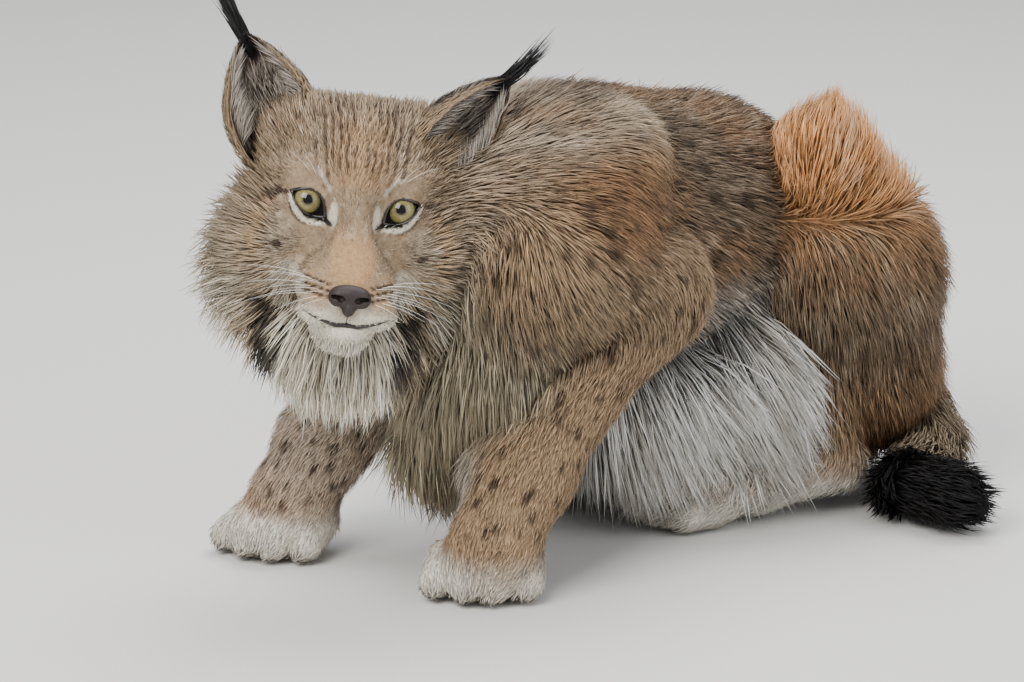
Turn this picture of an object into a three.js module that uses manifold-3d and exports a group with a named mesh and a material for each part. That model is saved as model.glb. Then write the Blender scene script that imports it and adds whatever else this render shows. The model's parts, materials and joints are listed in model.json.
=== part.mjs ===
// Eurasian lynx, life size, crouched with its weight on the forepaws and its face turned to the viewer.
// Millimetres, +Z up, +X to the viewer's right, +Y away from the viewer.
import * as THREE from 'three';
import Module from 'manifold-3d';
import { mergeVertices } from 'three/addons/utils/BufferGeometryUtils.js';

const wasm = await Module();
wasm.setup();

// Gap between neighbouring parts, and the size of the facets on each part.
const GAP = 0.3;
const CLEAR = 0.9;
const FACET = { torso: 46, neck: 38, thigh: 42, limb: 29, paw: 17.5, head: 22, tail: 20, nose: 5, eyeRows: 6 };
const FACE_FACET = 11;

// The trunk's own frame: a point between the shoulder blades and the way the trunk points.
const WITHERS = new THREE.Vector3(30, 140, 0);
const FORWARD = new THREE.Vector3(-0.64, -0.77, 0).normalize();
const LEFTWARD = new THREE.Vector3(-FORWARD.y, FORWARD.x, 0);

// The head's own frame: centre of the skull, turn to the viewer's right, lift of the face, lean to the right.
const SKULL = new THREE.Vector3(-125, 40, 289);
const HEAD_TURN = 6;
const HEAD_LIFT = 12;
const HEAD_LEAN = 7.8;
const HEAD_BACK = -50;

// Face sizes, in the head's frame: x to the viewer's right, y up, z out of the face.
const EYE = { x: 35.5, y: 20, z: 37.5, r: 13, lid: 2.3, slant: 28, half: 15.2, open: 8.4 };
const MUZZLE = { pad: 17.5, padY: -58, padZ: 80, top: 52, tip: 96 };
const MOUTH = { midY: -70, sideX: 18, sideY: -67.5, cornerX: 38, cornerY: -55, cut: 2.6, lip: 2.6 };

// Where the legs are parted from the trunk, measured from the trunk's middle plane.
const LEG_SIDE = 58;
const ARM_Z = 168;
const THROAT_Z = 226;
const WRIST_Z = 52;
const HOCK_Z = 66;

function vec(x, y, z) {
  return new THREE.Vector3(x, y, z);
}

// A point given by how far forward, how far to the animal's left and how high it lies.
function inTrunk(forward, left, up) {
  return WITHERS.clone().addScaledVector(FORWARD, forward).addScaledVector(LEFTWARD, left).setZ(up);
}

function headFrame() {
  const turn = THREE.MathUtils.degToRad(HEAD_TURN);
  const lift = THREE.MathUtils.degToRad(HEAD_LIFT);
  const out = vec(Math.sin(turn) * Math.cos(lift), -Math.cos(turn) * Math.cos(lift), Math.sin(lift));
  const up = vec(0, 0, 1).addScaledVector(out, -out.z).normalize();
  up.applyAxisAngle(out, THREE.MathUtils.degToRad(-HEAD_LEAN));
  const right = up.clone().cross(out);
  return new THREE.Matrix4().makeBasis(right, up, out).setPosition(SKULL);
}

const HEAD = headFrame();
const HEAD_INVERSE = HEAD.clone().invert();

function inHead(x, y, z) {
  return vec(x, y, z).applyMatrix4(HEAD);
}

// Distance to a limb that tapers from radius ra at a to rb at b.
function taper(a, b, ra, rb) {
  const way = b.clone().sub(a);
  const span = way.lengthSq();
  return (x, y, z) => {
    const along = ((x - a.x) * way.x + (y - a.y) * way.y + (z - a.z) * way.z) / span;
    const t = Math.min(Math.max(along, 0), 1);
    const dx = x - a.x - way.x * t;
    const dy = y - a.y - way.y * t;
    const dz = z - a.z - way.z * t;
    return Math.hypot(dx, dy, dz) - ra - (rb - ra) * t;
  };
}

// A limb through several points with a radius at each.
function limb(points, radii, soft) {
  const runs = points.slice(1).map((p, i) => taper(points[i], p, radii[i], radii[i + 1]));
  return blend(soft, ...runs);
}

// Distance to an egg with three half sizes along the axes of a turned frame.
function egg(centre, halves, turn = new THREE.Quaternion()) {
  const back = turn.clone().invert();
  const p = vec(0, 0, 0);
  return (x, y, z) => {
    p.set(x - centre.x, y - centre.y, z - centre.z).applyQuaternion(back);
    const near = Math.hypot(p.x / halves.x, p.y / halves.y, p.z / halves.z);
    const steep = Math.hypot(p.x / halves.x ** 2, p.y / halves.y ** 2, p.z / halves.z ** 2);
    return near < 1e-6 ? -Math.min(halves.x, halves.y, halves.z) : near * (near - 1) / steep;
  };
}

const TRUNK_TURN = new THREE.Quaternion().setFromRotationMatrix(
  new THREE.Matrix4().makeBasis(FORWARD, LEFTWARD, vec(0, 0, 1)),
);

// An egg in the trunk's frame: forward, leftward and upward half sizes, pitched nose-down by some degrees.
function trunkEgg(centre, halves, pitch = 0) {
  const tip = new THREE.Quaternion().setFromAxisAngle(vec(0, 1, 0), THREE.MathUtils.degToRad(pitch));
  return egg(centre, halves, TRUNK_TURN.clone().multiply(tip));
}

// The softly rounded union of several forms.
function blend(soft, ...forms) {
  return (x, y, z) => {
    let d = forms[0](x, y, z);
    for (let i = 1; i < forms.length; i += 1) {
      const e = forms[i](x, y, z);
      const h = Math.max(soft - Math.abs(d - e), 0) / soft;
      d = Math.min(d, e) - h * h * soft / 4;
    }
    return d;
  };
}

function carve(soft, form, hollow) {
  return (x, y, z) => {
    const d = form(x, y, z);
    const e = -hollow(x, y, z);
    const h = Math.max(soft - Math.abs(d - e), 0) / soft;
    return Math.max(d, e) + h * h * soft / 4;
  };
}

function solid(vertProperties, triVerts) {
  return new wasm.Manifold(new wasm.Mesh({
    numProp: 3,
    vertProperties: Float32Array.from(vertProperties),
    triVerts: Uint32Array.from(triVerts),
  }));
}

function fromGeometry(geometry) {
  const bare = geometry.clone();
  bare.deleteAttribute('normal');
  bare.deleteAttribute('uv');
  const merged = mergeVertices(bare, 1e-4);
  return solid(merged.attributes.position.array, merged.index.array);
}

// True when each edge of the facets has one facet on either side.
function isEven(faces) {
  const seen = new Set();
  for (let i = 0; i < faces.length; i += 3) {
    for (let n = 0; n < 3; n += 1) {
      const key = `${faces[i + n]}>${faces[i + (n + 1) % 3]}`;
      if (seen.has(key)) {
        return false;
      }
      seen.add(key);
    }
  }
  return true;
}

// Faces a form's surface with even facets inside the box lo..hi. The box closes it where the form runs on.
function skin(form, lo, hi, cell, grow = 0, fine = undefined) {
  for (let shift = 0; shift < 8; shift += 1) {
    const from = lo.clone().addScalar(-shift * cell * 0.11);
    const { points, faces } = facets(form, from, hi, cell, grow, fine);
    if (isEven(faces)) {
      return solid(points.flatMap((p) => [p.x, p.y, p.z]), faces);
    }
  }
  throw new Error('no even facets found');
}

// Grid lines from lo to hi, closer together inside the fine range.
function lines(lo, hi, cell, fine) {
  const list = [lo];
  while (list[list.length - 1] < hi) {
    const last = list[list.length - 1];
    list.push(last + (fine && last > fine.from && last < fine.to ? fine.cell : cell));
  }
  return list;
}

function facets(form, lo, hi, cell, grow, fine) {
  const grid = ['x', 'y', 'z'].map((a) => lines(lo[a], hi[a], cell, fine && fine[a]));
  const n = grid.map((list) => list.length);
  const at = (i, j, k) => (k * n[1] + j) * n[0] + i;
  const value = new Float32Array(n[0] * n[1] * n[2]);
  const depth = (x, y, z) => form(x, y, z) - grow;
  for (let k = 0; k < n[2]; k += 1) {
    for (let j = 0; j < n[1]; j += 1) {
      for (let i = 0; i < n[0]; i += 1) {
        const rim = i * j * k === 0 || i === n[0] - 1 || j === n[1] - 1 || k === n[2] - 1;
        const d = rim ? cell / 2 : depth(grid[0][i], grid[1][j], grid[2][k]);
        value[at(i, j, k)] = Math.abs(d) < 1e-4 ? 1e-4 : d;
      }
    }
  }
  const steps = [at(1, 0, 0), at(0, 1, 0), at(0, 0, 1)];
  const vertex = new Int32Array(value.length).fill(-1);
  const points = [];
  for (let k = 0; k < n[2] - 1; k += 1) {
    for (let j = 0; j < n[1] - 1; j += 1) {
      for (let i = 0; i < n[0] - 1; i += 1) {
        const sum = vec(0, 0, 0);
        let count = 0;
        for (let axis = 0; axis < 3; axis += 1) {
          for (let corner = 0; corner < 4; corner += 1) {
            const o = [0, 0, 0];
            o[(axis + 1) % 3] = corner & 1;
            o[(axis + 2) % 3] = corner >> 1;
            const from = at(i + o[0], j + o[1], k + o[2]);
            const a = value[from];
            const b = value[from + steps[axis]];
            if (a < 0 !== b < 0) {
              const spot = [i + o[0], j + o[1], k + o[2]];
              const place = spot.map((index, m) => grid[m][index]);
              place[axis] += (grid[axis][spot[axis] + 1] - place[axis]) * a / (a - b);
              sum.add(vec(...place));
              count += 1;
            }
          }
        }
        if (count) {
          vertex[at(i, j, k)] = points.length;
          points.push(sum.divideScalar(count));
        }
      }
    }
  }
  const faces = [];
  const links = points.map(() => []);
  for (let k = 0; k < n[2] - 1; k += 1) {
    for (let j = 0; j < n[1] - 1; j += 1) {
      for (let i = 0; i < n[0] - 1; i += 1) {
        for (let axis = 0; axis < 3; axis += 1) {
          const spot = [i, j, k];
          const here = at(i, j, k);
          const a = value[here];
          const b = value[here + steps[axis]];
          if (spot[(axis + 1) % 3] * spot[(axis + 2) % 3] > 0 && a < 0 !== b < 0) {
            const u = steps[(axis + 1) % 3];
            const w = steps[(axis + 2) % 3];
            const ring = [here - u - w, here - w, here, here - u].map((c) => vertex[c]);
            if (a >= 0) {
              ring.reverse();
            }
            const shorter = points[ring[0]].distanceTo(points[ring[2]])
              <= points[ring[1]].distanceTo(points[ring[3]]) ? 0 : 1;
            const [p, q, r, s] = [0, 1, 2, 3].map((c) => ring[(c + shorter) % 4]);
            faces.push(p, q, r, p, r, s);
            ring.forEach((c, m) => links[c].push(ring[(m + 1) % 4]));
          }
        }
      }
    }
  }
  const e = cell / 20;
  for (let pass = 0; pass < 4; pass += 1) {
    const before = points.map((p) => p.clone());
    points.forEach((p, m) => {
      if (Math.abs(depth(p.x, p.y, p.z)) > cell * 0.9) {
        return;
      }
      if (pass < 3) {
        const mean = vec(0, 0, 0);
        links[m].forEach((c) => mean.add(before[c]));
        p.lerp(mean.divideScalar(links[m].length), 0.4);
      }
      const d = depth(p.x, p.y, p.z);
      const slope = vec(
        depth(p.x + e, p.y, p.z) - depth(p.x - e, p.y, p.z),
        depth(p.x, p.y + e, p.z) - depth(p.x, p.y - e, p.z),
        depth(p.x, p.y, p.z + e) - depth(p.x, p.y, p.z - e),
      ).divideScalar(2 * e);
      p.addScaledVector(slope, -THREE.MathUtils.clamp(d / slope.lengthSq(), -cell / 2, cell / 2));
    });
  }
  return { points, faces };
}

// A block that fills the side of a plane to which its normal points, from inset past the plane.
function side(point, normal, inset = 0) {
  const far = 1600;
  const block = new THREE.BoxGeometry(far, far, far);
  const way = normal.clone().normalize();
  block.translate(0, 0, far / 2 + inset);
  block.applyQuaternion(new THREE.Quaternion().setFromUnitVectors(vec(0, 0, 1), way));
  block.translate(point.x, point.y, point.z);
  return fromGeometry(block);
}

// A block in the trunk's frame between two forward, leftward and upward limits.
function trunkBlock(forward, left, up, grow = 0) {
  const size = [forward, left, up].map((range) => range[1] - range[0] + 2 * grow);
  const block = new THREE.BoxGeometry(size[0], size[1], size[2]);
  const [f, l, u] = [forward, left, up].map((range) => (range[0] + range[1]) / 2);
  block.applyQuaternion(TRUNK_TURN);
  const c = inTrunk(f, l, u);
  block.translate(c.x, c.y, c.z);
  return fromGeometry(block);
}

function largest(body) {
  const pieces = body.decompose();
  pieces.sort((a, b) => b.volume() - a.volume());
  return pieces[0];
}

// Draws together corners closer than a micrometre or two and keeps the one closed body that is left.
function settle(body) {
  const data = largest(body).getMesh();
  const geometry = new THREE.BufferGeometry();
  geometry.setAttribute('position', new THREE.BufferAttribute(Float32Array.from(data.vertProperties), 3));
  geometry.setIndex(new THREE.BufferAttribute(Uint32Array.from(data.triVerts), 1));
  const merged = mergeVertices(geometry, 2e-3);
  const index = [];
  for (let i = 0; i < merged.index.count; i += 3) {
    const [a, b, c] = [0, 1, 2].map((n) => merged.index.getX(i + n));
    if (a !== b && b !== c && c !== a) {
      index.push(a, b, c);
    }
  }
  return largest(solid(merged.attributes.position.array, index));
}

// Closes a stack of rings, each with the same number of points, into a solid.
function loft(rings) {
  const sides = rings[0].length;
  const points = rings.flat();
  const faces = [];
  for (let r = 0; r < rings.length - 1; r += 1) {
    for (let s = 0; s < sides; s += 1) {
      const a = r * sides + s;
      const b = r * sides + (s + 1) % sides;
      faces.push(a, b, b + sides, a, b + sides, a + sides);
    }
  }
  [0, rings.length - 1].forEach((r) => {
    const middle = vec(0, 0, 0);
    rings[r].forEach((p) => middle.add(p));
    points.push(middle.divideScalar(sides));
    for (let s = 0; s < sides; s += 1) {
      const a = r * sides + s;
      const b = r * sides + (s + 1) % sides;
      faces.push(...(r === 0 ? [b, a, points.length - 1] : [a, b, points.length - 1]));
    }
  });
  const body = solid(points.flatMap((p) => [p.x, p.y, p.z]), faces);
  return body.volume() > 0 ? body : solid(points.flatMap((p) => [p.x, p.y, p.z]), faces.reverse());
}

// Trunk: thorax, loin, croup and rump, with the chest fur and the flank fringe.
const thorax = trunkEgg(inTrunk(-30, 0, 262), vec(152, 90, 120), -4);
const loin = trunkEgg(inTrunk(-165, 0, 246), vec(135, 92, 108), -10);
const croup = trunkEgg(inTrunk(-270, 0, 182), vec(108, 92, 122), -30);
const rump = trunkEgg(inTrunk(-318, 0, 138), vec(98, 98, 96), -20);
const brisket = limb([inTrunk(55, 6, 235), inTrunk(82, 10, 170), inTrunk(86, 14, 120)], [86, 66, 38], 30);
const fringe = blend(
  30,
  egg(vec(108, 212, 122), vec(74, 52, 76)),
  egg(vec(180, 240, 130), vec(64, 52, 80)),
);
const farFringe = trunkEgg(inTrunk(-110, -55, 135), vec(115, 40, 78));
const neckForm = limb([inHead(0, 4, -42), inTrunk(20, 0, 290)], [74, 86], 20);

// One foreleg: blade and upper arm on the trunk, then the forearm. side is 1 for the left.
const FORE = {
  left: {
    arm: [inTrunk(-20, 50, 330), inTrunk(60, 48, 262), vec(108, 122, 222)],
    armRadii: [42, 62, 48],
    forearm: [vec(108, 122, 222), vec(42, 90, 148), vec(10, 56, 98), vec(-12, 24, 46)],
    forearmRadii: [50, 42, 41, 37],
    wrist: vec(-14, 26, 40),
    toeLine: vec(-24, 12, 0),
    ahead: vec(-0.1, -1, 0).normalize(),
  },
  right: {
    arm: [inTrunk(-20, -50, 330), inTrunk(70, -48, 262), inTrunk(-10, -92, 218)],
    armRadii: [42, 62, 46],
    forearm: [inTrunk(-10, -92, 218), vec(-95, 190, 140), vec(-148, 166, 88), vec(-172, 148, 46)],
    forearmRadii: [48, 42, 38, 36],
    wrist: vec(-176, 150, 40),
    toeLine: vec(-196, 126, 0),
    ahead: vec(-0.45, -0.9, 0).normalize(),
  },
};

// A paw: a broad pad under the wrist and four rounded toes.
function paw(wrist, toeLine, ahead, size) {
  const across = vec(-ahead.y, ahead.x, 0);
  const toes = [-1.5, -0.5, 0.5, 1.5].map((step) => {
    const reach = 6 - 9 * (Math.abs(step) > 1 ? 1 : 0);
    const tip = toeLine.clone().addScaledVector(across, step * size * 0.47).addScaledVector(ahead, reach);
    const back = tip.clone().addScaledVector(ahead, -34).addScaledVector(across, -step * 3);
    return limb([back.setZ(24), tip.setZ(15)], [17, 16], 4);
  });
  const pad = egg(
    toeLine.clone().addScaledVector(ahead, -22).setZ(22),
    vec(size * 0.86, size * 0.95, 26),
    new THREE.Quaternion().setFromUnitVectors(vec(0, 1, 0), ahead),
  );
  const heel = taper(wrist, toeLine.clone().addScaledVector(ahead, -25).setZ(24), 36, 30);
  return blend(7, blend(14, pad, heel), ...toes);
}

// One hind leg, folded: the thigh with its long coat, the shank and the long foot flat on the floor.
const HIND = {
  left: {
    thigh: [vec(247, 264, 282), vec(262, 298, 198), vec(274, 326, 118)],
    thighRadii: [57, 88, 86],
    shank: [vec(236, 262, 190), vec(262, 261, 52)],
    foot: [vec(268, 262, 38), vec(200, 236, 30), vec(150, 220, 24)],
    toeLine: vec(128, 213, 0),
    ahead: vec(-0.93, -0.37, 0).normalize(),
  },
  right: {
    thigh: [inTrunk(-226, -84, 276), inTrunk(-268, -96, 190), inTrunk(-300, -92, 112)],
    thighRadii: [54, 72, 72],
    shank: [inTrunk(-240, -104, 186), inTrunk(-246, -108, 52)],
    foot: [inTrunk(-248, -108, 38), inTrunk(-176, -104, 30), inTrunk(-122, -102, 24)],
    toeLine: inTrunk(-98, -101, 0),
    ahead: FORWARD.clone(),
  },
};

const armForm = {};
const foreForm = {};
const pawForm = {};
const thighForm = {};
const shankForm = {};
const footForm = {};
for (const name of ['left', 'right']) {
  const fore = FORE[name];
  armForm[name] = limb(fore.arm, fore.armRadii, 30);
  pawForm[name] = paw(fore.wrist, fore.toeLine, fore.ahead, 50);
  foreForm[name] = blend(16, limb(fore.forearm, fore.forearmRadii, 24), pawForm[name]);
  const hind = HIND[name];
  thighForm[name] = limb(hind.thigh, hind.thighRadii, 30);
  footForm[name] = blend(12, limb(hind.foot, [21, 25, 24], 10), paw(hind.foot[2], hind.toeLine, hind.ahead, 38));
  shankForm[name] = blend(14, taper(hind.shank[0], hind.shank[1], 36, 24), footForm[name]);
}

const trunkForm = blend(40, thorax, loin, croup, rump, brisket, neckForm);
const bodyForm = blend(
  26, trunkForm, fringe, farFringe, armForm.left, armForm.right, thighForm.left, thighForm.right,
);

// Tail: down from the rump, forward along the floor, with a blunt tip curled outward.
const TAIL = [vec(318, 372, 92), vec(342, 330, 42), vec(336, 280, 28), vec(322, 238, 28), vec(350, 208, 28)];
const tailForm = limb(TAIL, [34, 30, 28, 28, 29], 12);

// Head: skull, cheeks, brow, nose bridge, muzzle, chin and the ruff that frames it.
function pair(x, y, z, halves) {
  return [egg(vec(-x, y, z), halves), egg(vec(x, y, z), halves)];
}

const sockets = blend(8, ...pair(30, 12, 66, vec(15, 15, 15)));
const face = blend(
  14,
  egg(vec(0, 22, -10), vec(70, 80, 70)),
  ...pair(46, -12, -4, vec(38, 46, 46)),
  ...pair(34, 44, 28, vec(26, 14, 18)),
  limb([vec(0, 44, 48), vec(0, -14, 66), vec(0, -42, 84)], [18, 17, 14], 10),
  egg(vec(0, -42, 52), vec(40, 34, 42)),
  egg(vec(0, -74, 50), vec(30, 18, 36)),
);
const pads = blend(6, ...pair(MUZZLE.pad, MUZZLE.padY, MUZZLE.padZ, vec(21, 15, 18)));
const chin = egg(vec(0, -79, 76), vec(19, 10, 17));
const ruff = blend(20, egg(vec(6, -24, -18), vec(92, 66, 30)), egg(vec(3, -70, 2), vec(50, 30, 28)));
const headForm = blend(12, carve(12, blend(8, face, pads, chin), sockets), ruff);

function neckInHead(x, y, z) {
  const p = inHead(x, y, z);
  return neckForm(p.x, p.y, p.z);
}

const headWhole = blend(20, headForm, neckInHead);
const noseForm = blend(
  4,
  egg(vec(0, -45.5, 94), vec(14.5, 7.5, 9)),
  ...pair(9, -49, 94, vec(7, 6.5, 9)),
  egg(vec(0, -56, 93), vec(5, 6.5, 8)),
);

// Points on the face where a ray straight back from the front meets it.
function onFace(x, y) {
  let z = 120;
  for (let step = 0; step < 60; step += 1) {
    z -= headForm(x, y, z) * 0.8;
  }
  return vec(x, y, z);
}

// A thin cord with pointed ends along a curve.
function cord(points, radius) {
  const curve = new THREE.CatmullRomCurve3(points);
  const count = points.length + 1;
  const rings = [];
  for (let i = 0; i <= count; i += 1) {
    const t = i / count;
    const p = curve.getPoint(t);
    const along = curve.getTangent(t);
    const out = vec(0, 0, 1).cross(along).normalize();
    const up = along.clone().cross(out);
    const r = radius * Math.max(0.25, Math.sin(Math.PI * Math.min(Math.max(t, 0.04), 0.96)) ** 0.5);
    rings.push([0, 1, 2, 3].map((s) => {
      const a = s * Math.PI / 2;
      return p.clone().addScaledVector(out, r * Math.cos(a)).addScaledVector(up, r * Math.sin(a));
    }));
  }
  return loft(rings);
}

function seeded(seed) {
  let state = seed;
  return () => {
    state = (state * 1664525 + 1013904223) % 4294967296;
    return state / 4294967296;
  };
}

const chance = seeded(41);

function vary(size, share) {
  return size * (1 + share * (2 * chance() - 1));
}

// How broad a lock is, from its sunken root to its tip.
const LOCK_SHAPE = [[0, 0.8], [0.45, 1], [1, 0]];
const FINE_LOCK_SHAPE = [[0, 0.8], [0.4, 1], [0.78, 0.74], [1, 0]];
const LOCK_TIP = 0.5;

// One flat tapered lock of coat. It lifts off along out, then hangs over by bend towards its tip.
function lock(root, way, out, size, shape = LOCK_SHAPE) {
  const along = way.clone().normalize();
  const flat = along.clone().cross(out).normalize();
  const rings = shape.map(([t, share]) => {
    const p = root.clone().addScaledVector(along, size.length * t)
      .addScaledVector(out, size.lift * Math.sin(Math.PI * t * 0.75))
      .addScaledVector(size.bend, t * t);
    const w = size.width / 2 * share + LOCK_TIP;
    const d = size.thick / 2 * share + LOCK_TIP;
    return [[w, 0], [0, d], [-w, 0], [0, -d]]
      .map(([a, b]) => p.clone().addScaledVector(flat, a).addScaledVector(out, b));
  });
  return loft(rings);
}

// Where a line from outside first meets a form, and which way the form faces there.
function meet(form, from, toward) {
  const way = toward.clone().sub(from).normalize();
  const point = from.clone();
  for (let step = 0; step < 80; step += 1) {
    point.addScaledVector(way, form(point.x, point.y, point.z) * 0.7);
  }
  const e = 3;
  const out = vec(
    form(point.x + e, point.y, point.z) - form(point.x - e, point.y, point.z),
    form(point.x, point.y + e, point.z) - form(point.x, point.y - e, point.z),
    form(point.x, point.y, point.z + e) - form(point.x, point.y, point.z - e),
  ).normalize();
  return { point, out };
}

// A lock that grows from a form's surface along a lie, its root sunk by a third of its length.
function coatLock(form, from, toward, lie, size) {
  const { point, out } = meet(form, from, toward);
  const way = lie.clone().addScaledVector(out, -lie.dot(out)).normalize().addScaledVector(out, size.stand).normalize();
  const root = point.clone().addScaledVector(out, -size.sunk).addScaledVector(way, -size.length * 0.3);
  return lock(root, way, out, size);
}

// The ruff: two rows of locks round the cheeks and jaw, spread like a fan, and a beard under the chin.
function ruffLocks() {
  const made = [];
  const rows = [
    { count: 11, root: 58, z: 14, length: 48, back: -0.3, width: 33 },
    { count: 13, root: 66, z: -14, length: 55, back: -0.12, width: 34 },
  ];
  rows.forEach((row, r) => {
    for (let i = 0; i < row.count; i += 1) {
      const turn = (i + 0.5 * (r % 2)) / (row.count - 0.5) * 2 - 1;
      const angle = turn * 2.05;
      const lean = Math.abs(turn);
      const way = vec(Math.sin(angle), -Math.cos(angle) - 0.35 * lean, row.back).normalize();
      const wide = angle < 0 ? 1.02 : 0.98;
      const root = vec(5 + Math.sin(angle) * row.root * 1.12 * wide, -30 - Math.cos(angle) * row.root * 0.9, row.z);
      const length = vary(row.length, 0.14) * (1 - 0.12 * lean);
      made.push(lock(root, way, vec(0, 0, 1), {
        length, width: vary(row.width, 0.15), thick: 9, lift: 5, bend: vec(0, -10 * lean, -8),
      }, FINE_LOCK_SHAPE));
    }
  });
  for (let i = 0; i < 3; i += 1) {
    const x = (i - 1) * 18;
    made.push(lock(vec(x * 0.8, -74, 52), vec(x * 0.012, -1, -0.28), vec(0, 0, 1), {
      length: vary(52, 0.12), width: 24, thick: 9, lift: 3, bend: vec(x * 0.3, 0, -10),
    }));
  }
  return made;
}

// Long coat of the chest, the flank fringe, the nape, the back and the rump.
function trunkLocks() {
  const made = [];
  const put = (from, toward, lie, size) => made.push(coatLock(bodyForm, from, toward, lie, size));
  [[188, 72], [146, 78], [110, 84]].forEach(([height, length], row) => {
    for (let i = 0; i < 4; i += 1) {
      const turn = (i - 1.75 + 0.5 * (row % 2)) * 0.6;
      const centre = inTrunk(62, 10, height);
      const from = inTrunk(62 + 260 * Math.cos(turn), 10 + 260 * Math.sin(turn), height);
      const lie = vec(0.1 * turn, 0, -1);
      put(from, centre, lie, {
        length: vary(length, 0.1), width: vary(44, 0.12), thick: 12, lift: 5, sunk: 8, stand: 0.14,
        bend: vec(0, 0, -4),
      });
    }
  });
  [[158, 98], [96, 112]].forEach(([height, length], row) => {
    for (let i = 0; i < 6; i += 1) {
      const along = (i + 0.5 * row) / 6;
      const x = 48 + 200 * along;
      const y = 205 + 44 * along;
      put(vec(x, y - 260, height), vec(x, y, height), vec(0.42, 0.1, -1), {
        length: vary(length, 0.08), width: vary(46, 0.12), thick: 13, lift: 6, sunk: 9, stand: 0.08,
        bend: vec(8, 10, -6),
      });
    }
  });
  for (let i = 0; i < 4; i += 1) {
    const forward = -30 - 52 * i;
    put(inTrunk(forward, -300, 120), inTrunk(forward, 0, 150), vec(0, 0, -1).addScaledVector(FORWARD, -0.35), {
      length: vary(92, 0.1), width: 50, thick: 13, lift: 5, sunk: 8, stand: 0.1, bend: vec(0, 0, -5),
    });
  }
  for (let i = 0; i < 4; i += 1) {
    const forward = -160 - 60 * i;
    const left = i % 2 ? 26 : -26;
    const lie = FORWARD.clone().multiplyScalar(-1);
    put(inTrunk(forward, left * 1.6, 700), inTrunk(forward, left, 150), lie, {
      length: 66, width: 46, thick: 10, lift: 3, sunk: 6, stand: 0.05, bend: vec(0, 0, -6),
    });
  }
  for (let i = 0; i < 3; i += 1) {
    const left = (i - 1) * 38;
    const height = i % 2 ? 92 : 128;
    put(inTrunk(-800, left, height), inTrunk(-300, left, height), vec(0, 0, -1), {
      length: 66, width: 44, thick: 11, lift: 4, sunk: 7, stand: 0.1, bend: vec(0, 0, -3),
    });
  }
  return made;
}

// Long coat of a thigh. It parts in a whorl beside the knee: upward over the knee, downward below it.
function thighLocks(name) {
  const made = [];
  const sign = name === 'left' ? 1 : -1;
  const [knee, middle, low] = HIND[name].thigh;
  const ring = name === 'left' ? 4 : 2;
  const rows = [
    { centre: knee, rise: 18, lie: vec(0.2, 0.2, 1), length: 56, count: ring, out: 0.2 },
    { centre: middle, rise: 10, lie: vec(0.1, 0, -1), length: 62, count: ring, out: 0.1 },
    { centre: middle, rise: -38, lie: vec(0.1, 0, -1), length: 62, count: ring, out: 0.1 },
    { centre: low, rise: -14, lie: vec(0, 0, -1), length: 64, count: ring, out: 0.12 },
  ];
  rows.forEach((row, r) => {
    for (let i = 0; i < row.count; i += 1) {
      const turn = ((i + 0.5 * (r % 2)) / row.count - 0.5) * 2.6;
      const side = LEFTWARD.clone().multiplyScalar(sign * Math.cos(turn)).addScaledVector(FORWARD, Math.sin(turn));
      const centre = row.centre.clone().add(vec(0, 0, row.rise));
      made.push(coatLock(bodyForm, centre.clone().addScaledVector(side, 300), centre, row.lie, {
        length: vary(row.length, 0.12), width: vary(46, 0.12), thick: 11, lift: 4, sunk: 7, stand: row.out,
        bend: vec(0, 0, -4),
      }));
    }
  });
  return made;
}

// The dense blunt brush at the end of the tail.
function tailLocks() {
  const [start, tip] = TAIL.slice(-2);
  const along = tip.clone().sub(start).normalize();
  return [0, 1, 2, 3, 4, 5].map((i) => {
    const turn = i * Math.PI / 3 + 0.5;
    const side = vec(0, 0, 1).multiplyScalar(Math.cos(turn))
      .addScaledVector(along.clone().cross(vec(0, 0, 1)), Math.sin(turn));
    return lock(tip.clone().addScaledVector(side, 17).addScaledVector(along, -14), along, side, {
      length: vary(44, 0.08), width: 22, thick: 10, lift: 3, bend: side.clone().multiplyScalar(-6),
    });
  });
}

function joined(body, locks) {
  return locks.reduce((all, one) => all.add(one), body);
}

function mouthLine(drop, sink) {
  const half = [[MOUTH.cornerX, MOUTH.cornerY], [30, -62], [MOUTH.sideX, MOUTH.sideY], [8, -70]];
  const points = [...half.map(([x, y]) => [-x, y]), [0, MOUTH.midY + 1], ...half.reverse()];
  return points.map(([x, y]) => onFace(x, y + drop).add(vec(0, 0, sink)));
}

function eyeOpening(sign) {
  const slant = THREE.MathUtils.degToRad(EYE.slant) * sign;
  const lens = new THREE.Shape();
  lens.moveTo(-EYE.half, 0);
  lens.quadraticCurveTo(0, EYE.open * 2.1, EYE.half, 0);
  lens.quadraticCurveTo(0, -EYE.open * 1.9, -EYE.half, 0);
  const hole = new THREE.ExtrudeGeometry(lens, { depth: 40, bevelEnabled: false, curveSegments: 6 });
  hole.rotateZ(slant);
  hole.rotateY(THREE.MathUtils.degToRad(10 * sign));
  hole.translate(EYE.x * sign, EYE.y, EYE.z);
  return fromGeometry(hole);
}

function ball(centre, radius, rows) {
  const sphere = new THREE.SphereGeometry(radius, rows * 2, rows);
  sphere.translate(centre.x, centre.y, centre.z);
  return fromGeometry(sphere);
}

// An ear: a cup of even thickness, open to one side, drawn to a point.
const EARS = {
  left: { root: vec(60, 68, -16), tip: vec(104, 128, -34), open: vec(0.78, 0.1, 0.62), wide: 30, deep: 24 },
  right: { root: vec(-64, 68, -14), tip: vec(-93, 137, -22), open: vec(-0.22, 0.1, 0.97), wide: 37, deep: 26 },
};

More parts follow.
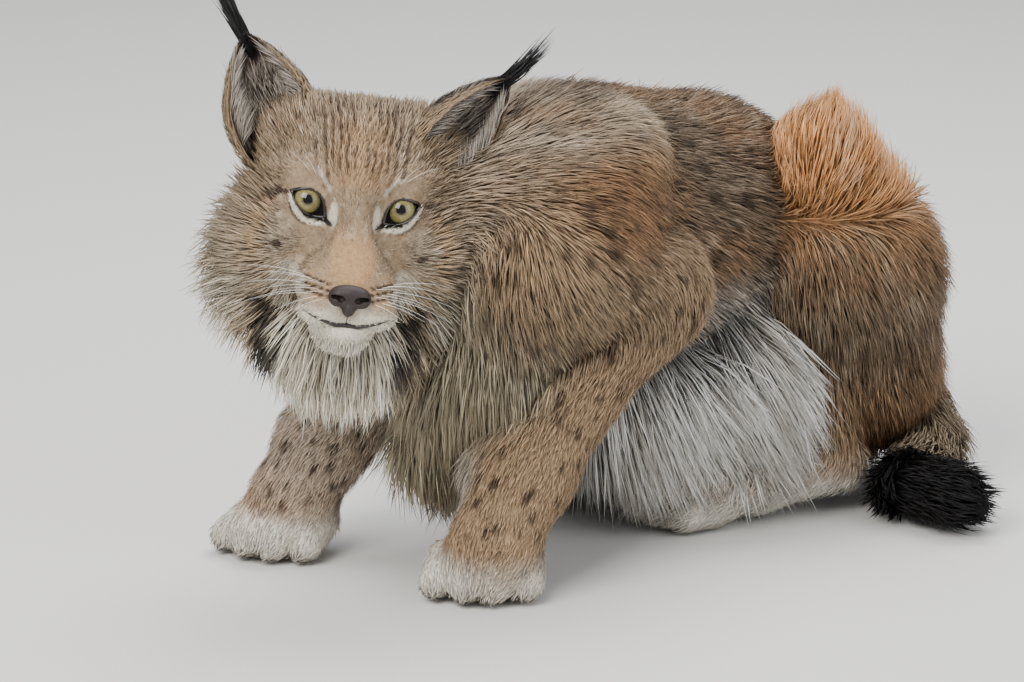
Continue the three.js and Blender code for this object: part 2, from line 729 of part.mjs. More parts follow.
function earCup(ear) {
  const up = ear.tip.clone().sub(ear.root);
  const height = up.length();
  up.normalize();
  const front = ear.open.clone().addScaledVector(up, -ear.open.dot(up)).normalize();
  const across = up.clone().cross(front);
  const rows = 6;
  const steps = 5;
  const wall = 3.4;
  const spread = 1.95;
  const rings = [];
  for (let r = 0; r <= rows; r += 1) {
    const t = r / rows;
    const h = height * (-0.28 + 1.28 * t);
    const full = Math.max(0.07, Math.sqrt(Math.max(0, 1 - t ** 1.9)) * (0.8 + 0.32 * Math.sin(Math.PI * t)));
    const outer = [];
    const inner = [];
    for (let s = 0; s <= steps; s += 1) {
      const a = spread * (2 * s / steps - 1);
      const w = ear.wide * full;
      const d = ear.deep * full;
      const shape = (grow) => ear.root.clone().addScaledVector(up, h)
        .addScaledVector(across, (w + grow) * Math.sin(a))
        .addScaledVector(front, -(d + grow) * Math.cos(a) + 6 * t);
      outer.push(shape(0));
      inner.push(shape(-Math.min(wall, w * 0.45)));
    }
    rings.push([...outer, ...inner.reverse()]);
  }
  return loft(rings);
}

// The tuft on the tip of an ear: a few long locks that lean together and curl over.
function earTuft(ear) {
  const up = ear.tip.clone().sub(ear.root).normalize();
  const start = ear.tip.clone().addScaledVector(up, -16);
  const away = Math.sign(ear.tip.x);
  const out = vec(0, 0, 1).addScaledVector(up, -up.z).normalize();
  return [[0, 58, 12], [0.16, 44, 8], [-0.18, 36, 4]].map(([fan, length, curl]) => lock(
    start.clone().add(vec(fan * 12, 0, 0)), up.clone().add(vec(away * 0.12 + fan, 0, -0.05)), out,
    { length, width: 9, thick: 6, lift: 2, bend: vec(away * curl, -2, -3) },
  )).reduce((all, one) => all.add(one));
}

const parts = {};

// Head, cut behind the jaw, with eye sockets, lids, lips and the line of the mouth.
const headBox = [vec(-138, -150, -90), vec(138, 124, 118)];
const headCut = (inset) => side(vec(0, 0, HEAD_BACK), vec(0, 0, 1), inset)
  .intersect(side(vec(116, 0, 0), vec(-1, 0, 0), inset));
const faceGrid = {
  x: { from: -58, to: 58, cell: FACE_FACET },
  y: { from: -96, to: 60, cell: FACE_FACET },
  z: { from: 20, to: 118, cell: FACE_FACET },
};
const headGrown = skin(headWhole, headBox[0], headBox[1], FACET.head, CLEAR, faceGrid)
  .intersect(headCut(-GAP / 2));
let head = skin(headWhole, headBox[0], headBox[1], FACET.head, 0, faceGrid).intersect(headCut(GAP / 2));
for (const sign of [-1, 1]) {
  const centre = vec(EYE.x * sign, EYE.y, EYE.z);
  head = head.add(ball(centre, EYE.r + EYE.lid, FACET.eyeRows));
}
head = head.add(cord(mouthLine(2.6, -0.6), MOUTH.lip)).add(cord(mouthLine(-2.8, -0.8), MOUTH.lip));
head = head.subtract(cord(mouthLine(0, 0.4), MOUTH.cut));
for (const sign of [-1, 1]) {
  const centre = vec(EYE.x * sign, EYE.y, EYE.z);
  head = head.subtract(ball(centre, EYE.r + GAP, FACET.eyeRows)).subtract(eyeOpening(sign));
}
const noseBox = [vec(-26, -72, 76), vec(26, -30, 112)];
head = head.subtract(skin(noseForm, noseBox[0], noseBox[1], FACET.nose, 0.9));
let nose = skin(noseForm, noseBox[0], noseBox[1], FACET.nose);
for (const sign of [-1, 1]) {
  nose = nose.subtract(cord([vec(6 * sign, -51, 106), vec(9 * sign, -49.5, 101), vec(14 * sign, -47, 97)], 2.6));
}
head = joined(head, ruffLocks()).intersect(headCut(GAP / 2));
parts.head = largest(head).transform(HEAD.elements);
parts.nose = largest(nose).transform(HEAD.elements);
for (const name of ['left', 'right']) {
  const sign = name === 'left' ? 1 : -1;
  parts[`eye_${name}`] = ball(vec(EYE.x * sign, EYE.y, EYE.z), EYE.r, FACET.eyeRows).transform(HEAD.elements);
  const ear = earCup(EARS[name]).add(earTuft(EARS[name])).subtract(headGrown).transform(HEAD.elements);
  const root = EARS[name].root.clone().applyMatrix4(HEAD);
  const nape = skin(bodyForm, root.clone().subScalar(110), root.clone().addScalar(110), FACET.limb, 2);
  parts[`ear_${name}`] = largest(ear.subtract(nape));
}
const headBlank = headGrown.transform(HEAD.elements);

// Neck, between the head and the shoulders, down to the throat.
const neckPlane = { point: vec(-36, 112, 305), normal: vec(-0.95, -0.28, 0.08) };
const neckBlock = (inset) => side(neckPlane.point, neckPlane.normal, inset)
  .intersect(side(vec(0, 0, THROAT_Z), vec(0, 0, 1), inset));
const neckSkin = skin(bodyForm, vec(-240, -60, 200), vec(40, 260, 440), FACET.neck);
parts.neck = neckSkin.intersect(neckBlock(GAP / 2)).subtract(headBlank);

// Legs. The upper arm and thigh are parted from the trunk by upright planes.
const grownLimbs = [];
const armBlock = {};
const thighBlock = {};
for (const name of ['left', 'right']) {
  const sign = name === 'left' ? 1 : -1;
  const span = (near, far) => (sign > 0 ? [near, far] : [-far, -near]);
  armBlock[name] = (grow) => trunkBlock([-118, 180], span(LEG_SIDE, 260), [ARM_Z, 420], grow);
  thighBlock[name] = (grow) => trunkBlock([-520, -150], span(LEG_SIDE, 320), [-20, 420], grow);
  const fore = FORE[name];
  const foreBox = new THREE.Box3().setFromPoints([...fore.forearm, ...fore.arm, fore.toeLine]).expandByScalar(90);
  foreBox.min.z = -14;
  const low = (inset) => side(vec(0, 0, ARM_Z), vec(0, 0, -1), inset);
  const wristCut = (inset, up) => side(vec(0, 0, WRIST_Z), vec(0, 0, up), inset);
  const shoulder = skin(blend(26, bodyForm, foreForm[name]), foreBox.min, foreBox.max, FACET.thigh)
    .intersect(armBlock[name](0)).subtract(headBlank).subtract(neckBlock(-GAP / 2));
  parts[`shoulder_${name}`] = largest(shoulder);
  const forearm = skin(foreForm[name], foreBox.min, foreBox.max, FACET.limb)
    .intersect(low(GAP)).intersect(wristCut(GAP / 2, 1));
  parts[`forearm_${name}`] = largest(forearm);
  const pawLo = fore.toeLine.clone().add(vec(-90, -90, -20)).setZ(-24);
  const pawHi = fore.toeLine.clone().add(vec(110, 110, 0)).setZ(90);
  const pawSkin = skin(foreForm[name], pawLo, pawHi, FACET.paw);
  parts[`forepaw_${name}`] = pawSkin.intersect(wristCut(GAP / 2, -1)).intersect(side(vec(0, 0, 0), vec(0, 0, 1)));
  grownLimbs.push(skin(foreForm[name], foreBox.min, foreBox.max, FACET.limb, CLEAR).intersect(low(-GAP)));
  grownLimbs.push(skin(foreForm[name], pawLo, pawHi, FACET.paw, CLEAR).intersect(side(vec(0, 0, WRIST_Z), vec(0, 0, -1))));
}

// Tail, parted where it leaves the rump and where the black tip begins.
const tailLo = vec(250, 150, -14);
const tailHi = vec(420, 440, 150);
const tailCut = (up, inset) => side(vec(318, 372, 92), vec(0.3, -0.62, -0.72).multiplyScalar(up), inset);
const tipCut = (up, inset) => side(vec(319, 250, 31), vec(0.2, -1, 0).multiplyScalar(up), inset);
const floor = side(vec(0, 0, 0), vec(0, 0, 1));
const tailSkin = skin(tailForm, tailLo, tailHi, FACET.tail).intersect(floor).intersect(tailCut(1, GAP / 2));
parts.tail = tailSkin.intersect(tipCut(-1, GAP / 2));
parts.tail_tip = joined(tailSkin, tailLocks()).intersect(tipCut(1, GAP / 2)).intersect(floor);
const tailGrown = skin(tailForm, tailLo, tailHi, FACET.tail, CLEAR).intersect(tailCut(1, -GAP / 2));

// Hind legs.
for (const name of ['left', 'right']) {
  const hind = HIND[name];
  const footBox = new THREE.Box3().setFromPoints([...hind.foot, hind.toeLine]).expandByScalar(75);
  footBox.min.z = -26;
  footBox.max.z = 100;
  const footSkin = skin(shankForm[name], footBox.min, footBox.max, FACET.paw);
  parts[`hindfoot_${name}`] = footSkin.intersect(side(vec(0, 0, HOCK_Z), vec(0, 0, -1), GAP / 2)).intersect(floor);
  const legBox = new THREE.Box3().setFromPoints([...hind.shank, ...hind.foot, hind.toeLine]).expandByScalar(70);
  legBox.min.z = 40;
  legBox.max.z = 190;
  const shankSkin = skin(shankForm[name], legBox.min, legBox.max, FACET.limb)
    .intersect(side(vec(0, 0, HOCK_Z), vec(0, 0, 1), GAP / 2))
    .intersect(side(vec(0, 0, 150), vec(0, 0, -1), GAP / 2));
  parts[`shank_${name}`] = largest(shankSkin);
  grownLimbs.push(skin(shankForm[name], legBox.min, legBox.max, FACET.limb, CLEAR)
    .intersect(side(vec(0, 0, HOCK_Z), vec(0, 0, 1), 0))
    .intersect(side(vec(0, 0, 150), vec(0, 0, -1), 0)));
  grownLimbs.push(skin(shankForm[name], footBox.min, footBox.max, FACET.paw, CLEAR)
    .intersect(side(vec(0, 0, HOCK_Z), vec(0, 0, -1), 0)));
}
const cleared = grownLimbs.reduce((all, one) => all.add(one)).add(tailGrown);
for (const name of ['left', 'right']) {
  const hind = HIND[name];
  const box = new THREE.Box3().setFromPoints(hind.thigh).expandByScalar(140);
  box.min.z = -30;
  const thighSkin = skin(bodyForm, box.min, box.max, FACET.thigh);
  parts[`thigh_${name}`] = joined(thighSkin, thighLocks(name)).intersect(thighBlock[name](-GAP / 2)).intersect(floor).subtract(cleared);
}

// Trunk.
let torso = skin(bodyForm, vec(-200, -80, -30), vec(440, 560, 450), FACET.torso);
torso = joined(torso, trunkLocks()).intersect(floor);
torso = torso.subtract(neckBlock(-GAP / 2)).subtract(headBlank);
for (const name of ['left', 'right']) {
  torso = torso.subtract(armBlock[name](GAP)).subtract(thighBlock[name](GAP / 2));
}
parts.torso = torso.subtract(cleared);

// Trims a body until it stands clear of its neighbour on all sides.
function standClear(body, neighbour, shifts) {
  return shifts.reduce(
    (left, shift) => left.subtract(neighbour.translate(shift.map((step) => step * GAP * 1.1))),
    body,
  );
}

const ALL_ROUND = [[0, 0, 0], [1, 1, 1], [1, -1, -1], [-1, 1, -1], [-1, -1, 1]];
const BEHIND = [[0, 0, 0], [0.2, 1.2, -0.6]];

const CLEARED = {
  head: ['nose'],
  shoulder_left: ['ear_left', 'head'],
  neck: ['head'],
  torso: ['head', 'forearm_left', 'forearm_right', 'forepaw_left', 'shank_left', 'hindfoot_left'],
  thigh_left: ['shank_left', 'hindfoot_left', 'tail', 'tail_tip'],
  thigh_right: ['shank_right', 'hindfoot_right'],
};
for (const [name, neighbours] of Object.entries(CLEARED)) {
  for (const neighbour of neighbours) {
    parts[name] = standClear(parts[name], parts[neighbour], neighbour === 'head' ? BEHIND : ALL_ROUND);
  }
}

const LOOK = {
  head: [0x9a7a60, 0.9],
  nose: [0x4b3732, 0.45],
  eye: [0x96a050, 0.15],
  ear: [0x6a5648, 0.9],
  neck: [0x94775e, 0.9],
  torso: [0x8c705a, 0.9],
  shoulder: [0x9c7a5c, 0.9],
  forearm: [0xa8835f, 0.9],
  forepaw: [0xb88e68, 0.9],
  thigh: [0xb07a4e, 0.9],
  shank: [0x9c7f66, 0.9],
  hindfoot: [0xb9a08a, 0.9],
  tail: [0xa07c5c, 0.9],
  tail_tip: [0x141210, 0.9],
};

// Writes a finished body out as a mesh named for its part.
function toMesh(name, body) {
  const kept = settle(body);
  const data = kept.getMesh();
  const geometry = new THREE.BufferGeometry();
  geometry.setAttribute('position', new THREE.BufferAttribute(Float32Array.from(data.vertProperties), 3));
  geometry.setIndex(new THREE.BufferAttribute(Uint32Array.from(data.triVerts), 1));
  geometry.computeVertexNormals();
  const [color, roughness] = LOOK[name] ?? LOOK[name.replace(/_(left|right)$/, '')];
  const material = new THREE.MeshStandardMaterial({ color, roughness, metalness: 0 });
  const mesh = new THREE.Mesh(geometry, material);
  mesh.name = name;
  return mesh;
}

const lynx = new THREE.Group();
lynx.name = 'lynx';
for (const [name, body] of Object.entries(parts)) {
  lynx.add(toMesh(name, body));
}
const extent = new THREE.Box3().setFromObject(lynx);
lynx.position.set(-(extent.min.x + extent.max.x) / 2, -(extent.min.y + extent.max.y) / 2, -extent.min.z);

export default lynx;
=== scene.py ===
import json
import math

import bpy
import numpy as np
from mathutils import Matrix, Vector

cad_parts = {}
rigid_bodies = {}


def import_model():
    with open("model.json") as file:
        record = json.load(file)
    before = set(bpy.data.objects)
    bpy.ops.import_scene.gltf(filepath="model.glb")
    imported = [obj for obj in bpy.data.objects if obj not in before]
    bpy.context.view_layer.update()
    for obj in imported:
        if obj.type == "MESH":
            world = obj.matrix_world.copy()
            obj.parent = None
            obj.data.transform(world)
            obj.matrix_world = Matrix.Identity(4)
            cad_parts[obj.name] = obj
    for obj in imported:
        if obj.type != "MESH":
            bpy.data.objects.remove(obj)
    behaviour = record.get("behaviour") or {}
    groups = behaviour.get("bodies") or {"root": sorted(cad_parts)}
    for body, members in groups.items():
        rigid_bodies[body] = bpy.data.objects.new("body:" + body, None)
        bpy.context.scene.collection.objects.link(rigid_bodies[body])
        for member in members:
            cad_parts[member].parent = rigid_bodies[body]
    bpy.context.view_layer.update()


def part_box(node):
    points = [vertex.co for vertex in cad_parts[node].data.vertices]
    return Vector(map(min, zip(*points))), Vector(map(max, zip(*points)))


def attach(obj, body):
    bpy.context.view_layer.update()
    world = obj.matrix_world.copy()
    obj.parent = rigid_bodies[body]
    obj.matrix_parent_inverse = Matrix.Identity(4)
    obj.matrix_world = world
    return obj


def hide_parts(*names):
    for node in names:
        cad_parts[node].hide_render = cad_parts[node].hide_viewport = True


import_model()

bl_info = {
    "name": "Eurasian lynx",
    "version": (1, 0, 0),
    "blender": (4, 5, 0),
    "location": "View3D > Sidebar > Lynx",
    "description": "Skin, coat, face and stage of a life-size lynx",
    "category": "Object",
}

# All shapes are worked out in millimetres in the sculptor's own frame, then moved to the floor of the model.
F = np.float32


def arr(*values):
    return np.array(values, dtype=np.float64)


def unit(v):
    v = np.asarray(v, dtype=np.float64)
    return v / np.maximum(np.sqrt((v * v).sum(-1, keepdims=True)), 1e-9)


def size_of(v):
    return np.sqrt((v * v).sum(-1))


def ramp(x, low, high):
    """Smooth step from 0 at low to 1 at high."""
    t = np.clip((x - low) / (high - low), 0, 1)
    return t * t * (3 - 2 * t)


# The trunk's frame.
WITHERS = arr(30, 140, 0)
FORWARD = unit(arr(-0.64, -0.77, 0))
LEFTWARD = arr(-FORWARD[1], FORWARD[0], 0)
UP = arr(0, 0, 1)
TRUNK_AXES = np.stack([FORWARD, LEFTWARD, UP], axis=1)


def in_trunk(forward, left, up):
    return WITHERS + FORWARD * forward + LEFTWARD * left + UP * up


# The head's frame: centre of the skull, turn, lift and lean in degrees.
SKULL = arr(-125, 40, 289)
HEAD_TURN, HEAD_LIFT, HEAD_LEAN = 6, 12, 7.8


def head_axes():
    turn, lift, lean = (math.radians(a) for a in (HEAD_TURN, HEAD_LIFT, -HEAD_LEAN))
    out = arr(math.sin(turn) * math.cos(lift), -math.cos(turn) * math.cos(lift), math.sin(lift))
    up = unit(UP - out * out[2])
    up = up * math.cos(lean) + np.cross(out, up) * math.sin(lean)
    return np.stack([np.cross(up, out), up, out], axis=1)


HEAD_AXES = head_axes()


def in_head(x, y, z):
    return SKULL + HEAD_AXES @ arr(x, y, z)


def head_coords(p):
    return (p - SKULL.astype(p.dtype)) @ HEAD_AXES.astype(p.dtype)


EYE = {"x": 35.5, "y": 20.0, "z": 37.5, "r": 13.0, "lid": 1.9}
SLIT = {"x": 35.6, "y": 17.5, "slant": 32.0, "half": 15.4, "top": 11.0, "low": 6.6, "deep": 3.2}
SIGNS = {"left": 1, "right": -1}


def eye_centre(sign):
    return arr(EYE["x"] * sign, EYE["y"], EYE["z"])


def frame_offset():
    """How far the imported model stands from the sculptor's frame, read from the eyes."""
    moves = []
    for name, sign in SIGNS.items():
        lo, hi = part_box("eye_" + name)
        middle = (arr(*lo) + arr(*hi)) * 500
        moves.append(middle - in_head(*eye_centre(sign)))
    move = (moves[0] + moves[1]) / 2
    move[2] = 0
    return move


OFFSET = frame_offset()


# Distance forms, for arrays of points.
def taper(a, b, ra, rb):
    a, b = np.asarray(a), np.asarray(b)
    way = b - a
    span = way @ way

    def depth(p):
        q = p - a.astype(p.dtype)
        t = np.clip(q @ (way / span).astype(p.dtype), 0, 1)
        return size_of(q - t[:, None] * way.astype(p.dtype)) - ra - (rb - ra) * t

    return depth


def egg(centre, halves, axes=np.eye(3)):
    halves = arr(*halves)

    def depth(p):
        q = (p - np.asarray(centre).astype(p.dtype)) @ axes.astype(p.dtype)
        near = size_of(q / halves.astype(p.dtype))
        steep = size_of(q / (halves ** 2).astype(p.dtype))
        return near * (near - 1) / np.maximum(steep, 1e-6)

    return depth


def trunk_egg(centre, halves, pitch=0):
    a = math.radians(pitch)
    tip = np.array([[math.cos(a), 0, math.sin(a)], [0, 1, 0], [-math.sin(a), 0, math.cos(a)]])
    return egg(centre, halves, TRUNK_AXES @ tip)


def blend(soft, *forms):
    def depth(p):
        d = forms[0](p)
        for form in forms[1:]:
            e = form(p)
            h = np.maximum(soft - np.abs(d - e), 0) / soft
            d = np.minimum(d, e) - h * h * soft / 4
        return d

    return depth


def carve(soft, form, hollow):
    def depth(p):
        d, e = form(p), -hollow(p)
        h = np.maximum(soft - np.abs(d - e), 0) / soft
        return np.maximum(d, e) + h * h * soft / 4

    return depth


def sunk(form, inset):
    return lambda p: form(p) + inset


def limb(points, radii, soft):
    runs = [taper(points[i], points[i + 1], radii[i], radii[i + 1]) for i in range(len(points) - 1)]
    return blend(soft, *runs)


def pair(x, y, z, halves):
    return [egg(arr(-x, y, z), halves), egg(arr(x, y, z), halves)]


THORAX = trunk_egg(in_trunk(-30, 0, 262), (152, 90, 120), -4)
LOIN = trunk_egg(in_trunk(-165, 0, 246), (135, 92, 108), -10)
CROUP = trunk_egg(in_trunk(-270, 0, 182), (108, 92, 122), -30)
RUMP = trunk_egg(in_trunk(-318, 0, 138), (98, 98, 96), -20)
BRISKET = limb([in_trunk(55, 6, 235), in_trunk(72, -8, 172), arr(-56, 92, 112)], [84, 64, 44], 30)
FRINGE = blend(30, egg(arr(106, 210, 108), (76, 52, 78)), egg(arr(178, 236, 116), (66, 52, 84)))
FAR_FRINGE = trunk_egg(in_trunk(-110, -55, 135), (115, 40, 78))
NECK = limb([in_head(0, 4, -42), in_trunk(20, 0, 290)], [74, 86], 20)

FORE = {
    "left": {
        "arm": [in_trunk(-20, 50, 330), in_trunk(60, 48, 262), arr(108, 122, 222)],
        "arm_radii": [42, 62, 48],
        "forearm": [arr(108, 122, 222), arr(42, 90, 148), arr(10, 56, 98), arr(-12, 24, 46)],
        "forearm_radii": [50, 42, 41, 37],
        "wrist": arr(-14, 26, 40),
        "toe_line": arr(-24, 12, 0),
        "ahead": unit(arr(-0.1, -1, 0)),
    },
    "right": {
        "arm": [in_trunk(-20, -50, 330), in_trunk(70, -48, 262), in_trunk(-10, -92, 218)],
        "arm_radii": [42, 62, 46],
        "forearm": [in_trunk(-10, -92, 218), arr(-95, 190, 140), arr(-148, 166, 88), arr(-172, 148, 46)],
        "forearm_radii": [48, 42, 38, 36],
        "wrist": arr(-176, 150, 40),
        "toe_line": arr(-196, 126, 0),
        "ahead": unit(arr(-0.45, -0.9, 0)),
    },
}
HIND = {
    "left": {
        "thigh": [arr(247, 264, 282), arr(262, 298, 198), arr(274, 326, 118)],
        "thigh_radii": [57, 88, 86],
        "shank": [arr(236, 262, 190), arr(262, 261, 52)],
        "foot": [arr(268, 262, 38), arr(200, 236, 30), arr(150, 220, 24)],
        "toe_line": arr(128, 213, 0),
        "ahead": unit(arr(-0.93, -0.37, 0)),
    },
    "right": {
        "thigh": [in_trunk(-226, -84, 276), in_trunk(-268, -96, 190), in_trunk(-300, -92, 112)],
        "thigh_radii": [54, 72, 72],
        "shank": [in_trunk(-240, -104, 186), in_trunk(-246, -108, 52)],
        "foot": [in_trunk(-248, -108, 38), in_trunk(-176, -104, 30), in_trunk(-122, -102, 24)],
        "toe_line": in_trunk(-98, -101, 0),
        "ahead": FORWARD.copy(),
    },
}
TAIL = [arr(318, 372, 92), arr(342, 330, 42), arr(336, 280, 28), arr(322, 238, 28), arr(350, 208, 28)]
TAIL_RADII = [34, 30, 28, 28, 29]


def paw(wrist, toe_line, ahead, width):
    """A broad pad under the wrist and four rounded toes."""
    across = arr(-ahead[1], ahead[0], 0)
    toes = []
    for step in (-1.5, -0.5, 0.5, 1.5):
        reach = 6 - 9 * (abs(step) > 1)
        tip = toe_line + across * step * width * 0.47 + ahead * reach
        back = tip - ahead * 34 - across * step * 3
        back[2], tip[2] = 24, 15
        toes.append(limb([back, tip], [15.6, 14.6], 4))
    axes = np.array([[ahead[1], ahead[0], 0], [-ahead[0], ahead[1], 0], [0, 0, 1]])
    middle = toe_line - ahead * 22
    middle[2] = 22
    pad = egg(middle, (width * 0.82, width * 0.9, 24), axes)
    low = toe_line - ahead * 25
    low[2] = 24
    heel = taper(wrist, low, 34, 28)
    return blend(4, blend(14, pad, heel), *toes)


# How deep the skin lies under the outline of the coat, part by part.
DEPTH = {
    "trunk": 15, "chest": 20, "fringe": 24, "neck": 14, "arm": 12, "forearm": 5, "thigh": 17, "shank": 6,
    "foot": 1.5, "tail": 9, "skull": 2.6, "muzzle": 1.4, "ruff": 10,
}

SOCKETS = blend(8, *pair(30, 12, 66, (15, 15, 15)))
FACE = blend(
    14,
    egg(arr(0, 22, -10), (70, 80, 70)),
    *pair(46, -12, -4, (38, 46, 46)),
    *pair(34, 44, 28, (26, 14, 18)),
    *pair(35, 66, -16, (34, 35, 42)),
    limb([arr(0, 44, 48), arr(0, -14, 66), arr(0, -42, 84)], [18, 17, 14], 10),
    egg(arr(0, -42, 52), (40, 34, 42)),
    egg(arr(0, -73, 50), (25, 17, 36)),
)
PADS = blend(5, *pair(17.5, -58, 80, (21, 15, 18)))
CHIN = egg(arr(0, -77, 76), (15, 9.5, 16))
RUFF = blend(20, egg(arr(3, -24, -16), (92, 68, 32)), egg(arr(3, -70, 2), (50, 30, 28)))
MOUTH = [(-33, -61), (-26, -64.5), (-17, -67.5), (-8, -69.5), (0, -69), (8, -69.5), (17, -67.5), (26, -64.5),
         (33, -61)]
MOUTH_WIDE, MOUTH_DEEP = 1.5, 1.8


def slit_axes(sign):
    """Columns along the slit of one eye, across it and out of the face, in the head's frame."""
    a = math.radians(SLIT["slant"]) * sign
    return np.array([[math.cos(a), -math.sin(a), 0], [math.sin(a), math.cos(a), 0], [0, 0, 1]])


def slit_centre(sign):
    return arr(SLIT["x"] * sign, SLIT["y"], EYE["z"])


def lens_coords(q, sign):
    """Points in the frame of one eye's slit."""
    return (q - slit_centre(sign).astype(q.dtype)) @ slit_axes(sign).astype(q.dtype)


def lens_edge(x, grow=0.0):
    """Heights of the upper and lower lid over the slit at x."""
    bow = np.clip(1 - (x / (SLIT["half"] + grow)) ** 2, -1, 1)
    return (SLIT["top"] + grow) * bow, -(SLIT["low"] + grow) * bow


def eye_cut(form, sign):
    """A form with the opening between one eye's lids."""
    def depth(q):
        d = form(q)
        s = lens_coords(q, sign)
        top, low = lens_edge(s[:, 0])
        inside = np.minimum(top - s[:, 1], s[:, 1] - low) * 0.8
        return np.where(s[:, 2] > -4, np.maximum(d, np.minimum(inside, d + SLIT["deep"])), d)

    return depth


def mouth_hollow():
    """The groove of the mouth, from the front of the face inwards."""
    runs = [(arr(*a), arr(*b)) for a, b in zip(MOUTH, MOUTH[1:])]

    def depth(q):
        best = np.full(len(q), 1e3, q.dtype)
        flat = q[:, :2]
        for a, b in runs:
            way = b - a
            r = flat - a.astype(q.dtype)
            t = np.clip(r @ (way / (way @ way)).astype(q.dtype), 0, 1)
            best = np.minimum(best, size_of(r - t[:, None] * way.astype(q.dtype)))
        return np.maximum(best - MOUTH_WIDE, 40 - q[:, 2])

    return depth


BARE_FACE = carve(12, blend(8, sunk(FACE, DEPTH["skull"]), sunk(PADS, DEPTH["muzzle"]),
                            sunk(CHIN, DEPTH["muzzle"])), SOCKETS)


def head_form():
    """Bare face and ruff, with the slits between the lids and the groove of the mouth."""
    form = blend(12, BARE_FACE, sunk(RUFF, DEPTH["ruff"]))
    for sign in (1, -1):
        lid = egg(eye_centre(sign), (EYE["r"] + EYE["lid"],) * 3)
        form = eye_cut(blend(5, form, lid), sign)
    lips = mouth_hollow()

    def depth(q):
        d = form(q)
        front = (q[:, 2] > 20) & (np.abs(q[:, 0]) < 48) & (q[:, 1] < -40)
        if front.any():
            near = q[front]
            groove = np.minimum(-lips(near), d[front] + MOUTH_DEEP)
            d[front] = np.maximum(d[front], groove)
        return d

    return depth


HEAD_FORM = head_form()


def head_in_place(p):
    """The head's form, worked out only round the head."""
    q = head_coords(p)
    near = (np.abs(q[:, 0]) < 150) & (np.abs(q[:, 1]) < 170) & (np.abs(q[:, 2]) < 140)
    d = np.full(len(p), 100, p.dtype)
    if near.any():
        d[near] = HEAD_FORM(q[near])
    return d


def leg_forms():
    forms = {}
    for name in SIGNS:
        fore, hind = FORE[name], HIND[name]
        forms["arm_" + name] = limb(fore["arm"], fore["arm_radii"], 30)
        forms["forearm_" + name] = limb(fore["forearm"], fore["forearm_radii"], 24)
        forms["forepaw_" + name] = paw(fore["wrist"], fore["toe_line"], fore["ahead"], 50)
        forms["thigh_" + name] = limb(hind["thigh"], hind["thigh_radii"], 30)
        forms["shank_" + name] = taper(hind["shank"][0], hind["shank"][1], 36, 24)
        forms["hindfoot_" + name] = blend(12, limb(hind["foot"], [21, 25, 24], 10),
                                          paw(hind["foot"][2], hind["toe_line"], hind["ahead"], 38))
    return forms


LEGS = leg_forms()
TAIL_FORM = limb(TAIL, TAIL_RADII, 12)


def skin_form(p):
    """Depth of the bare skin under the coat."""
    trunk = blend(
        40, sunk(THORAX, DEPTH["trunk"]), sunk(LOIN, DEPTH["trunk"]), sunk(CROUP, DEPTH["trunk"]),
        sunk(RUMP, DEPTH["trunk"]), sunk(BRISKET, DEPTH["chest"]), sunk(NECK, DEPTH["neck"]),
    )
    body = blend(
        26, trunk, sunk(FRINGE, DEPTH["fringe"]), sunk(FAR_FRINGE, DEPTH["fringe"]),
        *(sunk(LEGS[f"{leg}_{name}"], DEPTH[leg]) for leg in ("arm", "thigh") for name in SIGNS),
    )
    limbs = []
    for name in SIGNS:
        limbs.append(blend(16, sunk(LEGS["forearm_" + name], DEPTH["forearm"]),
                           sunk(LEGS["forepaw_" + name], DEPTH["foot"])))
        limbs.append(blend(14, sunk(LEGS["shank_" + name], DEPTH["shank"]),
                           sunk(LEGS["hindfoot_" + name], DEPTH["foot"])))
    whole = blend(14, blend(20, body, head_in_place), *limbs, sunk(TAIL_FORM, DEPTH["tail"]))
    return np.maximum(whole(p), 0.6 - p[:, 2])


# Faces a form with even quads on a graded grid.
def grid_lines(lo, hi, cell, fine=None):
    marks = [lo]
    while marks[-1] < hi:
        last = marks[-1]
        inside = fine and fine[0] < last < fine[1]
        marks.append(last + (fine[2] if inside else cell))
    return np.array(marks)


